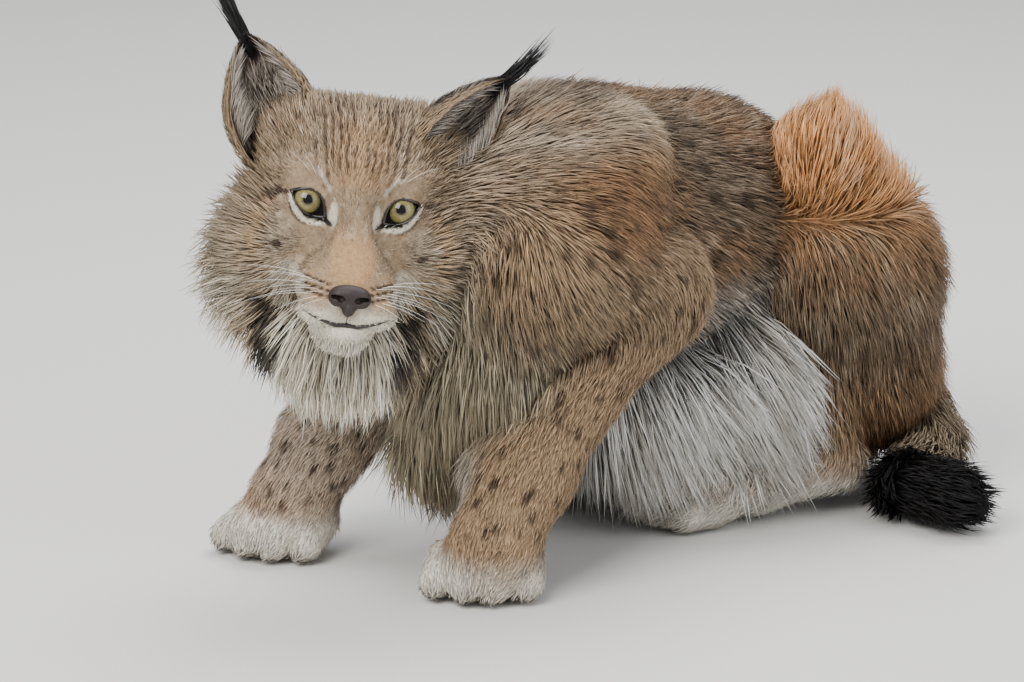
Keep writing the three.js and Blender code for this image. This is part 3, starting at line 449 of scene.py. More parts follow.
def facets(form, marks, passes=3):
    """Points, triangles and outward normals of a form's surface on the given grid lines."""
    shape = [len(m) for m in marks]
    mesh = np.stack(np.meshgrid(*marks, indexing="ij"), axis=-1).reshape(-1, 3).astype(F)
    value = np.concatenate([form(mesh[i:i + 400000]) for i in range(0, len(mesh), 400000)])
    value = value.reshape(shape).astype(np.float64)
    for axis in range(3):
        edge = np.moveaxis(value, axis, 0)
        edge[0] = edge[-1] = 5
    value[np.abs(value) < 1e-4] = 1e-4
    cells = [n - 1 for n in shape]
    total = np.zeros((int(np.prod(cells)), 3))
    count = np.zeros(int(np.prod(cells)))
    crossings = []
    for axis in range(3):
        rows = [slice(None)] * 3
        rows[axis] = slice(0, -1)
        far = [slice(None)] * 3
        far[axis] = slice(1, None)
        a, b = value[tuple(rows)], value[tuple(far)]
        spots = np.argwhere((a < 0) != (b < 0))
        va, vb = a[tuple(spots.T)], b[tuple(spots.T)]
        place = np.stack([marks[m][spots[:, m]] for m in range(3)], axis=1)
        step = marks[axis][spots[:, axis] + 1] - marks[axis][spots[:, axis]]
        place[:, axis] += step * va / (va - vb)
        u, w = (axis + 1) % 3, (axis + 2) % 3
        ring = []
        for du, dw in ((1, 1), (0, 1), (0, 0), (1, 0)):
            cell = spots.copy()
            cell[:, u] -= du
            cell[:, w] -= dw
            flat = np.ravel_multi_index(tuple(cell.T), cells)
            ring.append(flat)
            for m in range(3):
                total[:, m] += np.bincount(flat, place[:, m], minlength=len(total))
            count += np.bincount(flat, minlength=len(count))
        ring = np.stack(ring, axis=1)
        ring[va >= 0] = ring[va >= 0][:, ::-1]
        crossings.append(ring)
    used = np.flatnonzero(count)
    points = total[used] / count[used][:, None]
    index = np.full(len(count), -1)
    index[used] = np.arange(len(used))
    quads = index[np.concatenate(crossings)]
    links = np.concatenate([quads[:, [i, (i + 1) % 4]] for i in range(4)])
    ways = np.concatenate([links, links[:, ::-1]])
    many = np.maximum(np.bincount(ways[:, 0], minlength=len(points)), 1)
    small = min(float(np.diff(m).min()) for m in marks)
    for turn in range(passes):
        if turn < passes - 1:
            mean = np.stack([np.bincount(ways[:, 0], points[ways[:, 1], m], minlength=len(points))
                             for m in range(3)], axis=1) / many[:, None]
            points = points + (mean - points) * 0.4
        slope, d = slopes(form, points, small / 4)
        points = points - slope * np.clip(d / np.maximum((slope ** 2).sum(1), 0.05), -small, small)[:, None]
    corner = points[quads]
    short = size_of(corner[:, 0] - corner[:, 2]) > size_of(corner[:, 1] - corner[:, 3])
    quads[short] = np.roll(quads[short], -1, axis=1)
    triangles = np.concatenate([quads[:, [0, 1, 2]], quads[:, [0, 2, 3]]])
    slope, _ = slopes(form, points, small / 2)
    return points, triangles, unit(slope)


def slopes(form, points, e):
    p = points.astype(np.float64)
    d = form(p)
    slope = np.zeros_like(p)
    for m in range(3):
        step = np.zeros(3)
        step[m] = e
        slope[:, m] = (form(p + step) - form(p - step)) / (2 * e)
    return slope, d


# Repeatable scatter over space, for markings and for the way the hairs clump.
def scatter(cell, seed):
    n = (cell[:, 0].astype(np.int64) * 73856093) ^ (cell[:, 1].astype(np.int64) * 19349663)
    n = (n ^ (cell[:, 2].astype(np.int64) * 83492791) ^ (seed * 2654435761)) & 0x7FFFFFFF
    out = []
    for _ in range(3):
        n = (n * 1103515245 + 12345) & 0x7FFFFFFF
        n = (n ^ (n >> 13)) * 1274126177 & 0x7FFFFFFF
        out.append(((n >> 7) & 0xFFFF) / 65536.0)
    return np.stack(out, axis=1)


def nearest_cell(p, size, seed):
    """How far the nearest scattered point is in cells, the way to it in mm, and its own random numbers."""
    q = p / size
    base = np.floor(q).astype(np.int64)
    best = np.full(len(q), 9.0)
    way = np.zeros_like(q)
    own = np.zeros_like(q)
    for i in (-1, 0, 1):
        for j in (-1, 0, 1):
            for k in (-1, 0, 1):
                cell = base + np.array([i, j, k])
                jitter = scatter(cell, seed)
                step = cell + jitter - q
                d = size_of(step)
                nearer = d < best
                best[nearer] = d[nearer]
                way[nearer] = step[nearer] * size
                own[nearer] = jitter[nearer]
    return best, way, own


def mottle(p, size, seed):
    """Smooth random field from 0 to 1."""
    q = p / size
    base = np.floor(q).astype(np.int64)
    t = q - base
    t = t * t * (3 - 2 * t)
    total = np.zeros(len(q))
    for i in (0, 1):
        for j in (0, 1):
            for k in (0, 1):
                share = np.abs(1 - i - t[:, 0]) * np.abs(1 - j - t[:, 1]) * np.abs(1 - k - t[:, 2])
                total += share * scatter(base + np.array([i, j, k]), seed)[:, 0]
    return total


REGIONS = ["face", "ruff", "neck", "back", "rump", "chest", "fringe", "arm", "forearm", "forepaw", "thigh",
           "shank", "hindfoot", "tail"]


def region_depths(p):
    q = head_coords(p)
    both = lambda leg: np.minimum(LEGS[leg + "_left"](p), LEGS[leg + "_right"](p))
    return {
        "face": np.minimum(FACE(q), np.minimum(PADS(q), CHIN(q))) - 3,
        "ruff": RUFF(q),
        "neck": NECK(p) + 3,
        "back": np.minimum(THORAX(p), LOIN(p)),
        "rump": np.minimum(CROUP(p), RUMP(p)) + 2,
        "chest": BRISKET(p),
        "fringe": np.minimum(FRINGE(p), FAR_FRINGE(p)),
        "arm": both("arm") - 3,
        "forearm": both("forearm") - 4,
        "forepaw": both("forepaw") - 4,
        "thigh": both("thigh") - 6,
        "shank": both("shank") - 2,
        "hindfoot": both("hindfoot") - 6,
        "tail": TAIL_FORM(p) - 8,
    }


def region_shares(p, soft=9.0):
    depths = np.stack([region_depths(p)[name] for name in REGIONS], axis=1)
    weight = np.exp(-(depths - depths.min(1, keepdims=True)) / soft)
    return weight / weight.sum(1, keepdims=True)


def mixed(shares, values):
    return sum(shares[:, i:i + 1] * values[name] for i, name in enumerate(REGIONS))


def tail_way(p):
    """Direction along the tail, and how far down it each point lies."""
    best = np.full(len(p), 1e4)
    way = np.zeros_like(p)
    along = np.zeros(len(p))
    for i, (a, b) in enumerate(zip(TAIL, TAIL[1:])):
        run = b - a
        t = np.clip((p - a) @ run / (run @ run), 0, 1)
        d = size_of(p - a - t[:, None] * run)
        nearer = d < best
        best[nearer] = d[nearer]
        way[nearer] = unit(run)
        along[nearer] = (i + t)[nearer]
    return way, along


WHORL = arr(236, 240, 250)


def lie_of_coat(p, shares):
    """Which way the hairs point over the skin."""
    n = len(p)
    q = head_coords(p)
    all_round = lambda v: np.tile(np.asarray(v, dtype=np.float64), (n, 1))
    from_nose = unit(q - arr(0, -38, 96)) + arr(0, 0, -0.2)
    fan = q - arr(4, 6, 0)
    fan[:, 2] = -18
    fan[:, 1] -= np.abs(q[:, 0]) * 0.35 + 10
    left = (p - WITHERS) @ LEFTWARD
    steep = np.clip(np.abs(left) / 80, 0, 1)[:, None]
    swirl = np.tanh((p[:, 2] - WHORL[2]) / 22)
    thigh = np.stack([0.10 + 0.12 * np.abs(swirl), 0.05 + 0.2 * np.maximum(swirl, 0), swirl], axis=1)
    far_side = (left < 0)[:, None]
    thigh = np.where(far_side, -FORWARD * 0.35 - UP, thigh)
    left_fore = (left > -20)[:, None]
    ahead = np.where(left_fore, FORE["left"]["ahead"], FORE["right"]["ahead"])
    down_fore = np.where(left_fore, unit(FORE["left"]["wrist"] - FORE["left"]["forearm"][0]),
                         unit(FORE["right"]["wrist"] - FORE["right"]["forearm"][0]))
    hind_ahead = np.where((left > 0)[:, None], HIND["left"]["ahead"], HIND["right"]["ahead"])
    ways = {
        "face": unit(from_nose) @ HEAD_AXES.T,
        "ruff": unit(fan) @ HEAD_AXES.T,
        "neck": all_round(unit(in_trunk(20, 0, 290) - in_head(0, 4, -42))) - UP * 0.45 * steep,
        "back": all_round(-FORWARD) - UP * 0.75 * steep,
        "rump": all_round(-FORWARD * 0.5 - UP * 0.8),
        "chest": all_round(-UP - FORWARD * 0.1),
        "fringe": np.where(far_side, -FORWARD * 0.4 - UP, unit(arr(0.42, 0.1, -1))),
        "arm": all_round(-FORWARD * 0.55 - UP * 0.8),
        "forearm": down_fore,
        "forepaw": ahead * 0.9 - UP * 0.5,
        "thigh": unit(thigh),
        "shank": all_round(-UP),
        "hindfoot": hind_ahead * 0.9 - UP * 0.35,
        "tail": tail_way(p)[0],
    }
    return unit(mixed(shares, ways))


# Coat, region by region: length in mm, lift off the skin, width in mm and tufts to a square centimetre.
COAT = {
    "face": (11, 0.20, 1.05, 27), "ruff": (50, 0.30, 1.3, 30), "neck": (29, 0.38, 1.3, 20),
    "back": (27, 0.42, 1.3, 20), "rump": (32, 0.40, 1.4, 16), "chest": (56, 0.34, 1.5, 18),
    "fringe": (78, 0.30, 1.6, 18), "arm": (24, 0.38, 1.25, 22), "forearm": (13, 0.28, 1.15, 15),
    "forepaw": (8.5, 0.22, 1.15, 17), "thigh": (34, 0.44, 1.35, 18), "shank": (18, 0.3, 1.5, 10),
    "hindfoot": (9.5, 0.22, 1.2, 13), "tail": (34, 0.36, 1.6, 18),
}


def srgb(r, g, b):
    """Linear colour from the 0 to 255 numbers of a colour chart."""
    values = [v / 255 for v in (r, g, b)]
    return tuple(v / 12.92 if v <= 0.04045 else ((v + 0.055) / 1.055) ** 2.4 for v in values)


def colour_prop(name, text, value):
    return bpy.props.FloatVectorProperty(name=name, description=text, size=3, subtype="COLOR",
                                         min=0, max=1, default=srgb(*value))


def factor_prop(name, text, least, most):
    return bpy.props.FloatProperty(name=name, description=text, default=1.0, min=least, max=most,
                                   subtype="FACTOR")


def length_prop(name, text, value, least, most):
    return bpy.props.FloatProperty(name=name, description=text, default=value, min=least, max=most,
                                   unit="LENGTH", subtype="DISTANCE")


class LynxCoatColours(bpy.types.PropertyGroup):
    """Colours of the coat."""
    back: colour_prop("Back", "Mottled rusty grey-brown of the back and flanks", (126, 108, 88))
    rust: colour_prop("Rust", "Warm patches behind the shoulder and on the back", (160, 120, 84))
    pale_tip: colour_prop("Pale tips", "Light tips over the shoulder and back", (200, 184, 160))
    dark: colour_prop("Dark marks", "Spots and stripes of body and legs", (54, 41, 33))
    orange: colour_prop("Knee orange", "Long unspotted coat over the knee", (190, 136, 86))
    thigh: colour_prop("Lower thigh", "Grey-brown of the lower thigh", (126, 107, 86))
    fringe: colour_prop("Fringe", "White and grey coat of flank and belly", (234, 230, 223))
    fringe_grey: colour_prop("Fringe streaks", "Grey streaks in the fringe", (132, 124, 112))
    chest: colour_prop("Chest", "Buff grey of the chest", (164, 152, 128))
    leg: colour_prop("Leg", "Buff of the legs", (172, 145, 114))
    paw: colour_prop("Paw", "Rusty top of the paws", (190, 146, 104))
    toe: colour_prop("Toes", "Pale toes", (232, 224, 210))
    face: colour_prop("Face", "Grey-brown of forehead and cheeks", (156, 134, 108))
    bridge: colour_prop("Nose bridge", "Orange tan of the nose bridge", (194, 150, 104))
    white: colour_prop("White", "Muzzle, chin, eye patches and ruff", (230, 221, 202))
    black: colour_prop("Black", "Ear tufts, ruff bands and tail tip", (20, 17, 17))


class LynxCoatSizes(bpy.types.PropertyGroup):
    """Sizes of the coat."""
    length: factor_prop("Length", "Factor on the length of all tufts", 0.2, 2)
    width: factor_prop("Width", "Factor on the width of all tufts", 0.2, 3)
    density: factor_prop("Density", "Factor on the number of tufts", 0.05, 2)
    seed: bpy.props.IntProperty(name="Seed", description="Number that the random spread starts from",
                                default=7)


class LynxFaceSizes(bpy.types.PropertyGroup):
    """Sizes and colours of the face."""
    iris: colour_prop("Iris", "Yellow-green of the iris", (128, 120, 76))
    iris_rim: colour_prop("Iris rim", "Darker ring round the iris", (74, 72, 40))
    lid: colour_prop("Lid", "Dark skin of lids and lips", (30, 22, 20))
    nose: colour_prop("Nose", "Leather of the nose", (34, 22, 19))
    pupil: length_prop("Pupil", "Radius of the round pupil", 0.0027, 0.001, 0.008)
    whisker: length_prop("Whisker", "Length of the longest whisker", 0.056, 0.01, 0.15)


class LynxStageSizes(bpy.types.PropertyGroup):
    """Floor and light."""
    floor: colour_prop("Floor", "Plain pale floor", (214, 212, 208))
    light: bpy.props.FloatProperty(name="Light", description="Power of the main soft light in watts",
                                   default=120.0, min=0, max=2000, subtype="POWER", unit="POWER")


def near_line(q, a, b):
    """Distance from points to the line between a and b."""
    a, b = arr(*a), arr(*b)
    way = b - a
    r = q - a
    t = np.clip(r @ way / (way @ way), 0, 1)
    return size_of(r - t[:, None] * way)


def paint(base, colour, share):
    share = np.clip(np.atleast_1d(share), 0, 1)[:, None]
    return base + (np.asarray(colour) - base) * share


# Forehead stripes: distance from the middle, top end and width.
FOREHEAD_STRIPES = [(3, 92, 1.1), (8.5, 96, 1.2), (14, 96, 1.2), (20, 94, 1.3), (26, 92, 1.3), (33, 84, 1.3)]
WHISKER_ROWS, WHISKER_PLACES = 3, 4


def whisker_root(row, k):
    """Where a whisker stands on the muzzle: x and y in the head's frame."""
    return 20 + 4.6 * k, -40 - 5.6 * row + 1.5 * k


def face_colours(q, c):
    """Colour of the head by place in the head's frame."""
    x, y, z = q[:, 0], q[:, 1], q[:, 2]
    side = np.abs(x)
    flat = q[:, :2].copy()
    flat[:, 0] = side
    ahead = ramp(z, 5, 25)
    white, pale = np.asarray(c["white"]), np.asarray(c["pale_tip"])

    def spot_at(place, halves, soft=(0.7, 1.2)):
        return 1 - ramp(size_of((flat - arr(*place)) / arr(*halves)), *soft)

    def line_at(a, b, narrow, wide):
        return 1 - ramp(near_line(flat, a, b), narrow, wide)

    base = np.tile(np.asarray(c["face"]), (len(q), 1)) * (0.78 + 0.4 * mottle(q, 6, 31))[:, None]
    base = paint(base, pale, ramp(mottle(q, 4.5, 32), 0.62, 0.85) * 0.5)
    # Warm forehead between the brows, grey towards the ears and on the cheeks.
    forehead = (1 - ramp(side, 12, 36)) * ramp(y, 26, 44) * (1 - ramp(y, 70, 100))
    base = paint(base, c["bridge"], forehead * 0.4)
    base = paint(base, pale, ramp(side, 40, 66) * ramp(-y, -40, 20) * 0.45)
    base = paint(base, c["fringe_grey"], spot_at((56, -8), (15, 17)) * 0.35)
    # Tan curve from the outer corner of the eye down the edge of the cheek.
    curve = np.maximum(line_at((68, 16), (77, -6), 2, 7), line_at((77, -6), (76, -32), 2, 7))
    base = paint(base, c["bridge"], curve * 0.4)
    # Orange end of the nose bridge, grey-brown between the eyes.
    flare = np.clip(-y, 0, 40) * 0.16
    bridge = (1 - ramp(side, 12 + flare, 19 + flare))
    bridge = bridge * ramp(z, 30, 60) * (1 - ramp(y, -14, 12)) * ramp(y, -54, -40)
    base = paint(base, c["bridge"], bridge * 0.7)
    base = paint(base, c["leg"], spot_at((26, -42), (16, 15)) * ramp(z, 40, 60) * 0.8)
    # Dark stripes of the forehead, broken into dashes, and a dark mark over the inner end of each eye.
    for start, top, width in FOREHEAD_STRIPES:
        line = np.abs(side - start - 0.1 * (y - 40) + 4.2 * (mottle(q, 14, 5) - 0.5))
        broken = ramp(mottle(q * arr(1, 0.4, 1), 9, int(start)), 0.2, 0.5)
        reach = ramp(y, 40, 52) * (1 - ramp(y, top, top + 12))
        mark = (1 - ramp(line, width * 0.5, width * 1.6)) * reach * broken
        base = paint(base, c["dark"], mark * 0.75)
    base = paint(base, c["dark"], spot_at((25, 39), (3.2, 7.5)) * ahead * 0.6)
    # Cream wedge on the inner side of the eye, and the thin pale streak from it up to the brow.
    base = paint(base, white, spot_at((17.2, 14), (3.2, 10.5)) * ahead * 0.85)
    base = paint(base, white, line_at((22, 33), (31, 46), 0.5, 2.2) * ahead * 0.5)
    # Pale lower jaw, lips and chin, and the white of the upper lip beside the nose.
    base = paint(base, white, spot_at((11.5, -54), (7, 6)) * ramp(z, 60, 75) * 0.9)
    low = ramp(-y + 0.25 * side, 66, 72) * (1 - ramp(side, 42, 56))
    base = paint(base, white, low)
    base = paint(base, white, ramp(-y, 53, 64) * ramp(z, 40, 60) * 0.5)
    base = paint(base, white * 0.85, spot_at((46, -42), (12, 17)) * 0.6)
    # Dark bands either side of the white beard, with pale coat outside them.
    band = line_at((64, -62), (47, -104), 4, 10)
    base = paint(base, c["black"], band * (1 - ramp(z, 45, 62)) * 0.92)
    base = paint(base, white * 0.85, ramp(side, 72, 84) * ramp(-y, 30, 60) * 0.7)
    # Dark line back from the outer corner of the eye, and the spots of the cheek.
    eye_line = np.maximum(line_at((48, 25), (60, 27), 0.9, 2.6), line_at((60, 27), (77, 15), 0.9, 3.2))
    base = paint(base, c["dark"], eye_line * ahead * 0.9)
    base = paint(base, c["dark"], spot_at((57, -15), (4.5, 3.2)) * 0.85)
    base = paint(base, c["dark"], line_at((44, -7), (60, -14), 0.6, 2.4) * 0.45)
    # Dark edge of the lids, cream below them, and the brown line under the cream.
    for sign in (1, -1):
        s = lens_coords(q, sign)
        along = s[:, 0] * sign
        top, bottom = lens_edge(s[:, 0], 0)
        below, above = bottom - s[:, 1], s[:, 1] - top
        rim = np.maximum(above, below)
        near = (s[:, 2] > 0) & (np.abs(along) < 19)
        under = near & (below > above)
        base = paint(base, white, ramp(below, 1.2, 2.0) * (1 - ramp(below, 5.2, 6.2)) * under)
        brown = ramp(below, 5.4, 6.4) * (1 - ramp(below, 7.2, 8.4)) * under * ramp(along, -12, -4)
        base = paint(base, c["dark"], brown * 0.75)
        base = paint(base, c["black"], (1 - ramp(rim, 1.2, 2.4)) * near)
        corner = 1 - ramp(size_of((s[:, :2] - arr(-17.5 * sign, -0.5)) / arr(4.5, 2.2)), 0.8, 1.3)
        base = paint(base, c["black"], corner * (s[:, 2] > 0) * 0.95)
    # Rows of whisker spots.
    for row in range(WHISKER_ROWS):
        for k in range(WHISKER_PLACES):
            spot = arr(*whisker_root(row, k))
            mark = 1 - ramp(size_of((flat - spot) / arr(2.3, 1.4)), 0.7, 1.4)
            base = paint(base, c["dark"], mark * ramp(z, 50, 60) * 0.95)
    return base


def coat_colours(p, shares, c):
    """The colour of skin and coat at every point: one set of markings for both."""
    n = len(p)
    q = head_coords(p)
    up = p[:, 2]
    left = (p - WITHERS) @ LEFTWARD
    forward = (p - WITHERS) @ FORWARD
    broad, fine = mottle(p, 46, 11), mottle(p, 13, 12)
    solid = lambda name: np.tile(np.asarray(c[name]), (n, 1))

    def spots(size, seed, small, big, some):
        near, _, own = nearest_cell(p, size, seed)
        return (1 - ramp(near, small, big)) * (own[:, 1] > some)

    body_spots = spots(30, 21, 0.16, 0.34, 0.35)
    leg_spots = spots(14, 22, 0.24, 0.4, 0.36)

    back = paint(solid("back"), c["rust"], ramp(broad, 0.35, 0.8) * 0.45)
    back = paint(back, c["pale_tip"], ramp(fine, 0.55, 0.9) * 0.45)
    back = paint(back, c["dark"], body_spots * 0.85)
    speckle = spots(15, 24, 0.26, 0.44, 0.42)
    back = paint(back, c["dark"], speckle * 0.75)
    ridge = (1 - ramp(np.abs(left), 6, 26)) * ramp(up, 300, 350)
    back = paint(back, np.asarray(c["dark"]) * 1.3, ridge * 0.35)
    flank = ramp(-up, -225, -150) * ramp(np.abs(left), 30, 70)
    back = paint(back, c["fringe"], flank * 0.6)

    rump = paint(back, c["rust"], 0.25)
    neck = paint(back, c["pale_tip"], 0.25 + 0.3 * fine)
    chest = paint(solid("chest"), c["fringe_grey"], ramp(fine, 0.45, 0.85) * 0.5)
    chest = paint(chest, c["dark"], speckle * 0.3 + body_spots * 0.35)
    streaks = ramp(mottle(p * arr(1, 1, 0.4), 10, 14), 0.5, 0.82)
    fringe = paint(solid("fringe"), c["fringe_grey"], streaks * 0.55)
    fringe = paint(fringe, c["back"], ramp(up, 120, 200) * 0.7)

    # Shoulder blade: pale on top, then a rusty patch, then buff grey.
    arm = paint(solid("leg"), c["back"], ramp(broad, 0.3, 0.8) * 0.5)
    patch = 1 - ramp(size_of((p - in_trunk(10, 60, 296)) / arr(66, 90, 62)), 0.6, 1.15)
    arm = paint(arm, c["rust"], patch * 0.85)
    arm = paint(arm, c["dark"], speckle * 0.75)
    arm = paint(arm, c["dark"], patch * ramp(fine, 0.55, 0.8) * 0.5)
    arm = paint(arm, c["pale_tip"], ramp(up, 326, 364) * 0.6)
    arm = paint(arm, c["dark"], body_spots * 0.75 * (1 - ramp(up, 300, 340)))
    arm = paint(arm, c["back"], (1 - ramp(up, 190, 270)) * 0.6)
    arm = paint(arm, c["dark"], leg_spots * (1 - ramp(up, 200, 250)) * 0.8)

    forearm = paint(solid("leg"), c["fringe"], ramp(-left, -40, 60) * (1 - ramp(up, 150, 210)) * 0.25)
    forearm = paint(forearm, c["dark"], leg_spots * 0.88)
    inner_side = ramp(size_of((p - arr(-60, 90, 110)) / arr(60, 90, 90)), 1.0, 0.7)
    forearm = paint(forearm, c["fringe"], inner_side * 0.4)
    forepaw = paint(solid("toe"), c["paw"], ramp(up, 30, 46) * 0.85)
    forepaw = paint(forepaw, c["dark"], leg_spots * ramp(up, 40, 58) * 0.7)
    # Grey at the very bottom of the toes: painted shade where they meet the floor.
    forepaw = paint(forepaw, c["fringe_grey"], (1 - ramp(up, 2, 12)) * 0.6)

    # Thigh: orange over the knee, spotted grey-brown below, rust at the bottom.
    height = up + 26 * (mottle(p, 60, 17) - 0.5)
    thigh = paint(solid("thigh"), c["orange"], ramp(height, 218, 262))
    thigh = paint(thigh, c["rust"], ramp(height, 170, 228) * (1 - ramp(height, 250, 290)) * 0.55)
    thigh = paint(thigh, c["rust"], ramp(broad, 0.45, 0.8) * ramp(up, 200, 260) * 0.5)
    thigh = paint(thigh, c["pale_tip"], ramp(fine, 0.5, 0.9) * 0.25)
    lower = 1 - ramp(height, 205, 245)
    thigh = paint(thigh, c["dark"], np.maximum(spots(21, 23, 0.2, 0.36, 0.3) * 0.8, speckle * 0.45) * lower)
    thigh = paint(thigh, c["rust"], (1 - ramp(up, 60, 150)) * ramp(p[:, 0], 215, 300) * 0.65)

    shank = paint(solid("leg"), c["dark"], leg_spots * 0.7)
    foot = paint(solid("toe"), c["paw"], ramp(up, 24, 38) * 0.5 + ramp(-forward, 250, 300) * 0.4)
    foot = paint(foot, c["dark"], leg_spots * ramp(up, 24, 40) * 0.6)
    # Grey at the very bottom of the toes: painted shade where they meet the floor.
    foot = paint(foot, c["fringe_grey"], (1 - ramp(up, 2, 12)) * 0.6)
    along = tail_way(p)[1]
    tail = paint(paint(solid("thigh"), c["chest"], 0.35), c["black"], ramp(along, 2.55, 2.9))

    face = face_colours(q, c)
    made = {"face": face, "ruff": face, "neck": neck, "back": back, "rump": rump, "chest": chest,
            "fringe": fringe, "arm": arm, "forearm": forearm, "forepaw": forepaw, "thigh": thigh,
            "shank": shank, "hindfoot": foot, "tail": tail}
    sharp = shares ** 2
    sharp = sharp / sharp.sum(1, keepdims=True)
    return np.clip(mixed(sharp, made), 0.003, 1)


def settings(group):
    return getattr(bpy.context.scene, group)


def chart():
    """The coat's colours as plain tuples."""
    group = settings("lynx_colours")
    return {name: tuple(getattr(group, name)) for name in LynxCoatColours.__annotations__}


# Meshes and materials.
def to_world(points):
    return (np.asarray(points) + OFFSET) / 1000


def new_mesh(name, points, faces, in_place=False):
    """A mesh object at the origin from points in mm."""
    mesh = bpy.data.meshes.new(name)
    places = points if in_place else to_world(points)
    faces = np.asarray(faces, dtype=np.int32)
    mesh.vertices.add(len(places))
    mesh.vertices.foreach_set("co", np.asarray(places, dtype=F).ravel())
    if len(faces):
        corners = faces.shape[1]
        mesh.loops.add(faces.size)
        mesh.loops.foreach_set("vertex_index", faces.ravel())
        mesh.polygons.add(len(faces))
        mesh.polygons.foreach_set("loop_start", np.arange(0, faces.size, corners, dtype=np.int32))
        mesh.polygons.foreach_set("use_smooth", np.ones(len(faces), dtype=bool))
    mesh.update(calc_edges=True)
    obj = bpy.data.objects.new(name, mesh)
    bpy.context.scene.collection.objects.link(obj)
    return obj


def put_values(obj, name, kind, values):
    """Gives a mesh one named value at every point."""
    fields = {"FLOAT": "value", "INT": "value", "FLOAT_VECTOR": "vector", "FLOAT_COLOR": "color"}
    layer = obj.data.attributes.new(name, kind, "POINT")
    values = np.asarray(values, dtype=np.int32 if kind == "INT" else F)
    if kind == "FLOAT_COLOR":
        values = np.concatenate([values, np.ones((len(values), 1), F)], axis=1)
    layer.data.foreach_set(fields[kind], values.ravel())


def put_uv(obj, values):
    layer = obj.data.uv_layers.new(name="OFBake")
    layer.data.foreach_set("uv", np.asarray(values, dtype=F).ravel())


def node(tree, kind, place, **values):
    """A node of a tree, with values for its sockets or settings."""
    made = tree.nodes.new(kind)
    made.location = place
    for name, value in values.items():
        if name in made.inputs:
            made.inputs[name].default_value = value
        else:
            setattr(made, name, value)
    return made


def stretched(tree, place, value, low, high, start=0.0, end=1.0):
    """A value spread from start..end over low..high."""
    made = node(tree, "ShaderNodeMapRange", place)
    for name, number in (("From Min", start), ("From Max", end), ("To Min", low), ("To Max", high)):
        made.inputs[name].default_value = number
    tree.links.new(value, made.inputs["Value"])
    return made.outputs["Result"]


def times(tree, place, tint, value):
    """A tint made lighter or darker by a value."""
    made = node(tree, "ShaderNodeMix", place, data_type="RGBA", blend_type="MULTIPLY", Factor=1.0)
    tree.links.new(tint, made.inputs["A"])
    tree.links.new(value, made.inputs["B"])
    return made.outputs["Result"]


def coat_grain_group():
    """Fine grain of hair: lighter and darker values and a height."""
    group = bpy.data.node_groups.get("Hair grain")
    if group:
        return group
    group = bpy.data.node_groups.new("Hair grain", "ShaderNodeTree")
    face = group.interface
    face.new_socket("Tint", in_out="INPUT", socket_type="NodeSocketColor")
    face.new_socket("Scale", in_out="INPUT", socket_type="NodeSocketFloat").default_value = 400
    face.new_socket("Tint", in_out="OUTPUT", socket_type="NodeSocketColor")
    face.new_socket("Height", in_out="OUTPUT", socket_type="NodeSocketFloat")
    entry = node(group, "NodeGroupInput", (-800, 0))
    leave = node(group, "NodeGroupOutput", (400, 0))
    place = node(group, "ShaderNodeTexCoord", (-800, -250))
    grain = node(group, "ShaderNodeTexNoise", (-550, -250), Detail=3.0, Roughness=0.6)
    link = group.links.new
    link(place.outputs["Object"], grain.inputs["Vector"])
    link(entry.outputs["Scale"], grain.inputs["Scale"])
    light = stretched(group, (-300, -250), grain.outputs["Fac"], 0.72, 1.12, 0.3, 0.7)
    link(times(group, (0, 0), entry.outputs["Tint"], light), leave.inputs["Tint"])
    link(grain.outputs["Fac"], leave.inputs["Height"])
    return group


# Streaks across and along one tuft's patch of the map.
STREAKS = (1500, 220, 1)


def coat_material(name, tufts):
    """Hair tinted by the markings; tufts are darker at the root than at the tip, partly their own banding and
    partly painted shade deep in the coat.
    """
    material = bpy.data.materials.get(name)
    if material:
        return material
    material = bpy.data.materials.new(name)
    material.use_nodes = True
    tree = material.node_tree
    shader = tree.nodes["Principled BSDF"]
    shader.inputs["Roughness"].default_value = 0.62 if tufts else 0.85
    shader.inputs["Specular IOR Level"].default_value = 0.28 if tufts else 0.15
    tint = node(tree, "ShaderNodeAttribute", (-900, 200), attribute_name="tint").outputs["Color"]
    link = tree.links.new
    if tufts:
        # Fine streaks along each tuft, so that it reads as several hairs.
        place = node(tree, "ShaderNodeUVMap", (-1500, 450), uv_map="OFBake")
        stretch = node(tree, "ShaderNodeVectorMath", (-1300, 450), operation="MULTIPLY")
        stretch.inputs[1].default_value = STREAKS
        streak = node(tree, "ShaderNodeTexNoise", (-1100, 450), Scale=1.0, Detail=2.0)
        along = node(tree, "ShaderNodeAttribute", (-900, -50), attribute_name="along")
        link(place.outputs["UV"], stretch.inputs[0])
        link(stretch.outputs["Vector"], streak.inputs["Vector"])
        hairs = times(tree, (-650, 350), tint, stretched(tree, (-850, 450), streak.outputs["Fac"],
                                                         0.55, 1.4, 0.3, 0.7))
        # Darker towards the root: the hair's own banding together with painted shade deep in the coat.
        depth = stretched(tree, (-650, -50), along.outputs["Fac"], 0.52, 1.16)
        link(times(tree, (-400, 150), hairs, depth), shader.inputs["Base Color"])
    else:
        grain = node(tree, "ShaderNodeGroup", (-600, 100), node_tree=coat_grain_group())
        grain.inputs["Scale"].default_value = 420
        bump = node(tree, "ShaderNodeBump", (-300, -200), Strength=0.5, Distance=0.0008)
        link(tint, grain.inputs["Tint"])
        link(grain.outputs["Tint"], shader.inputs["Base Color"])
        link(grain.outputs["Height"], bump.inputs["Height"])
        link(bump.outputs["Normal"], shader.inputs["Normal"])
    return material


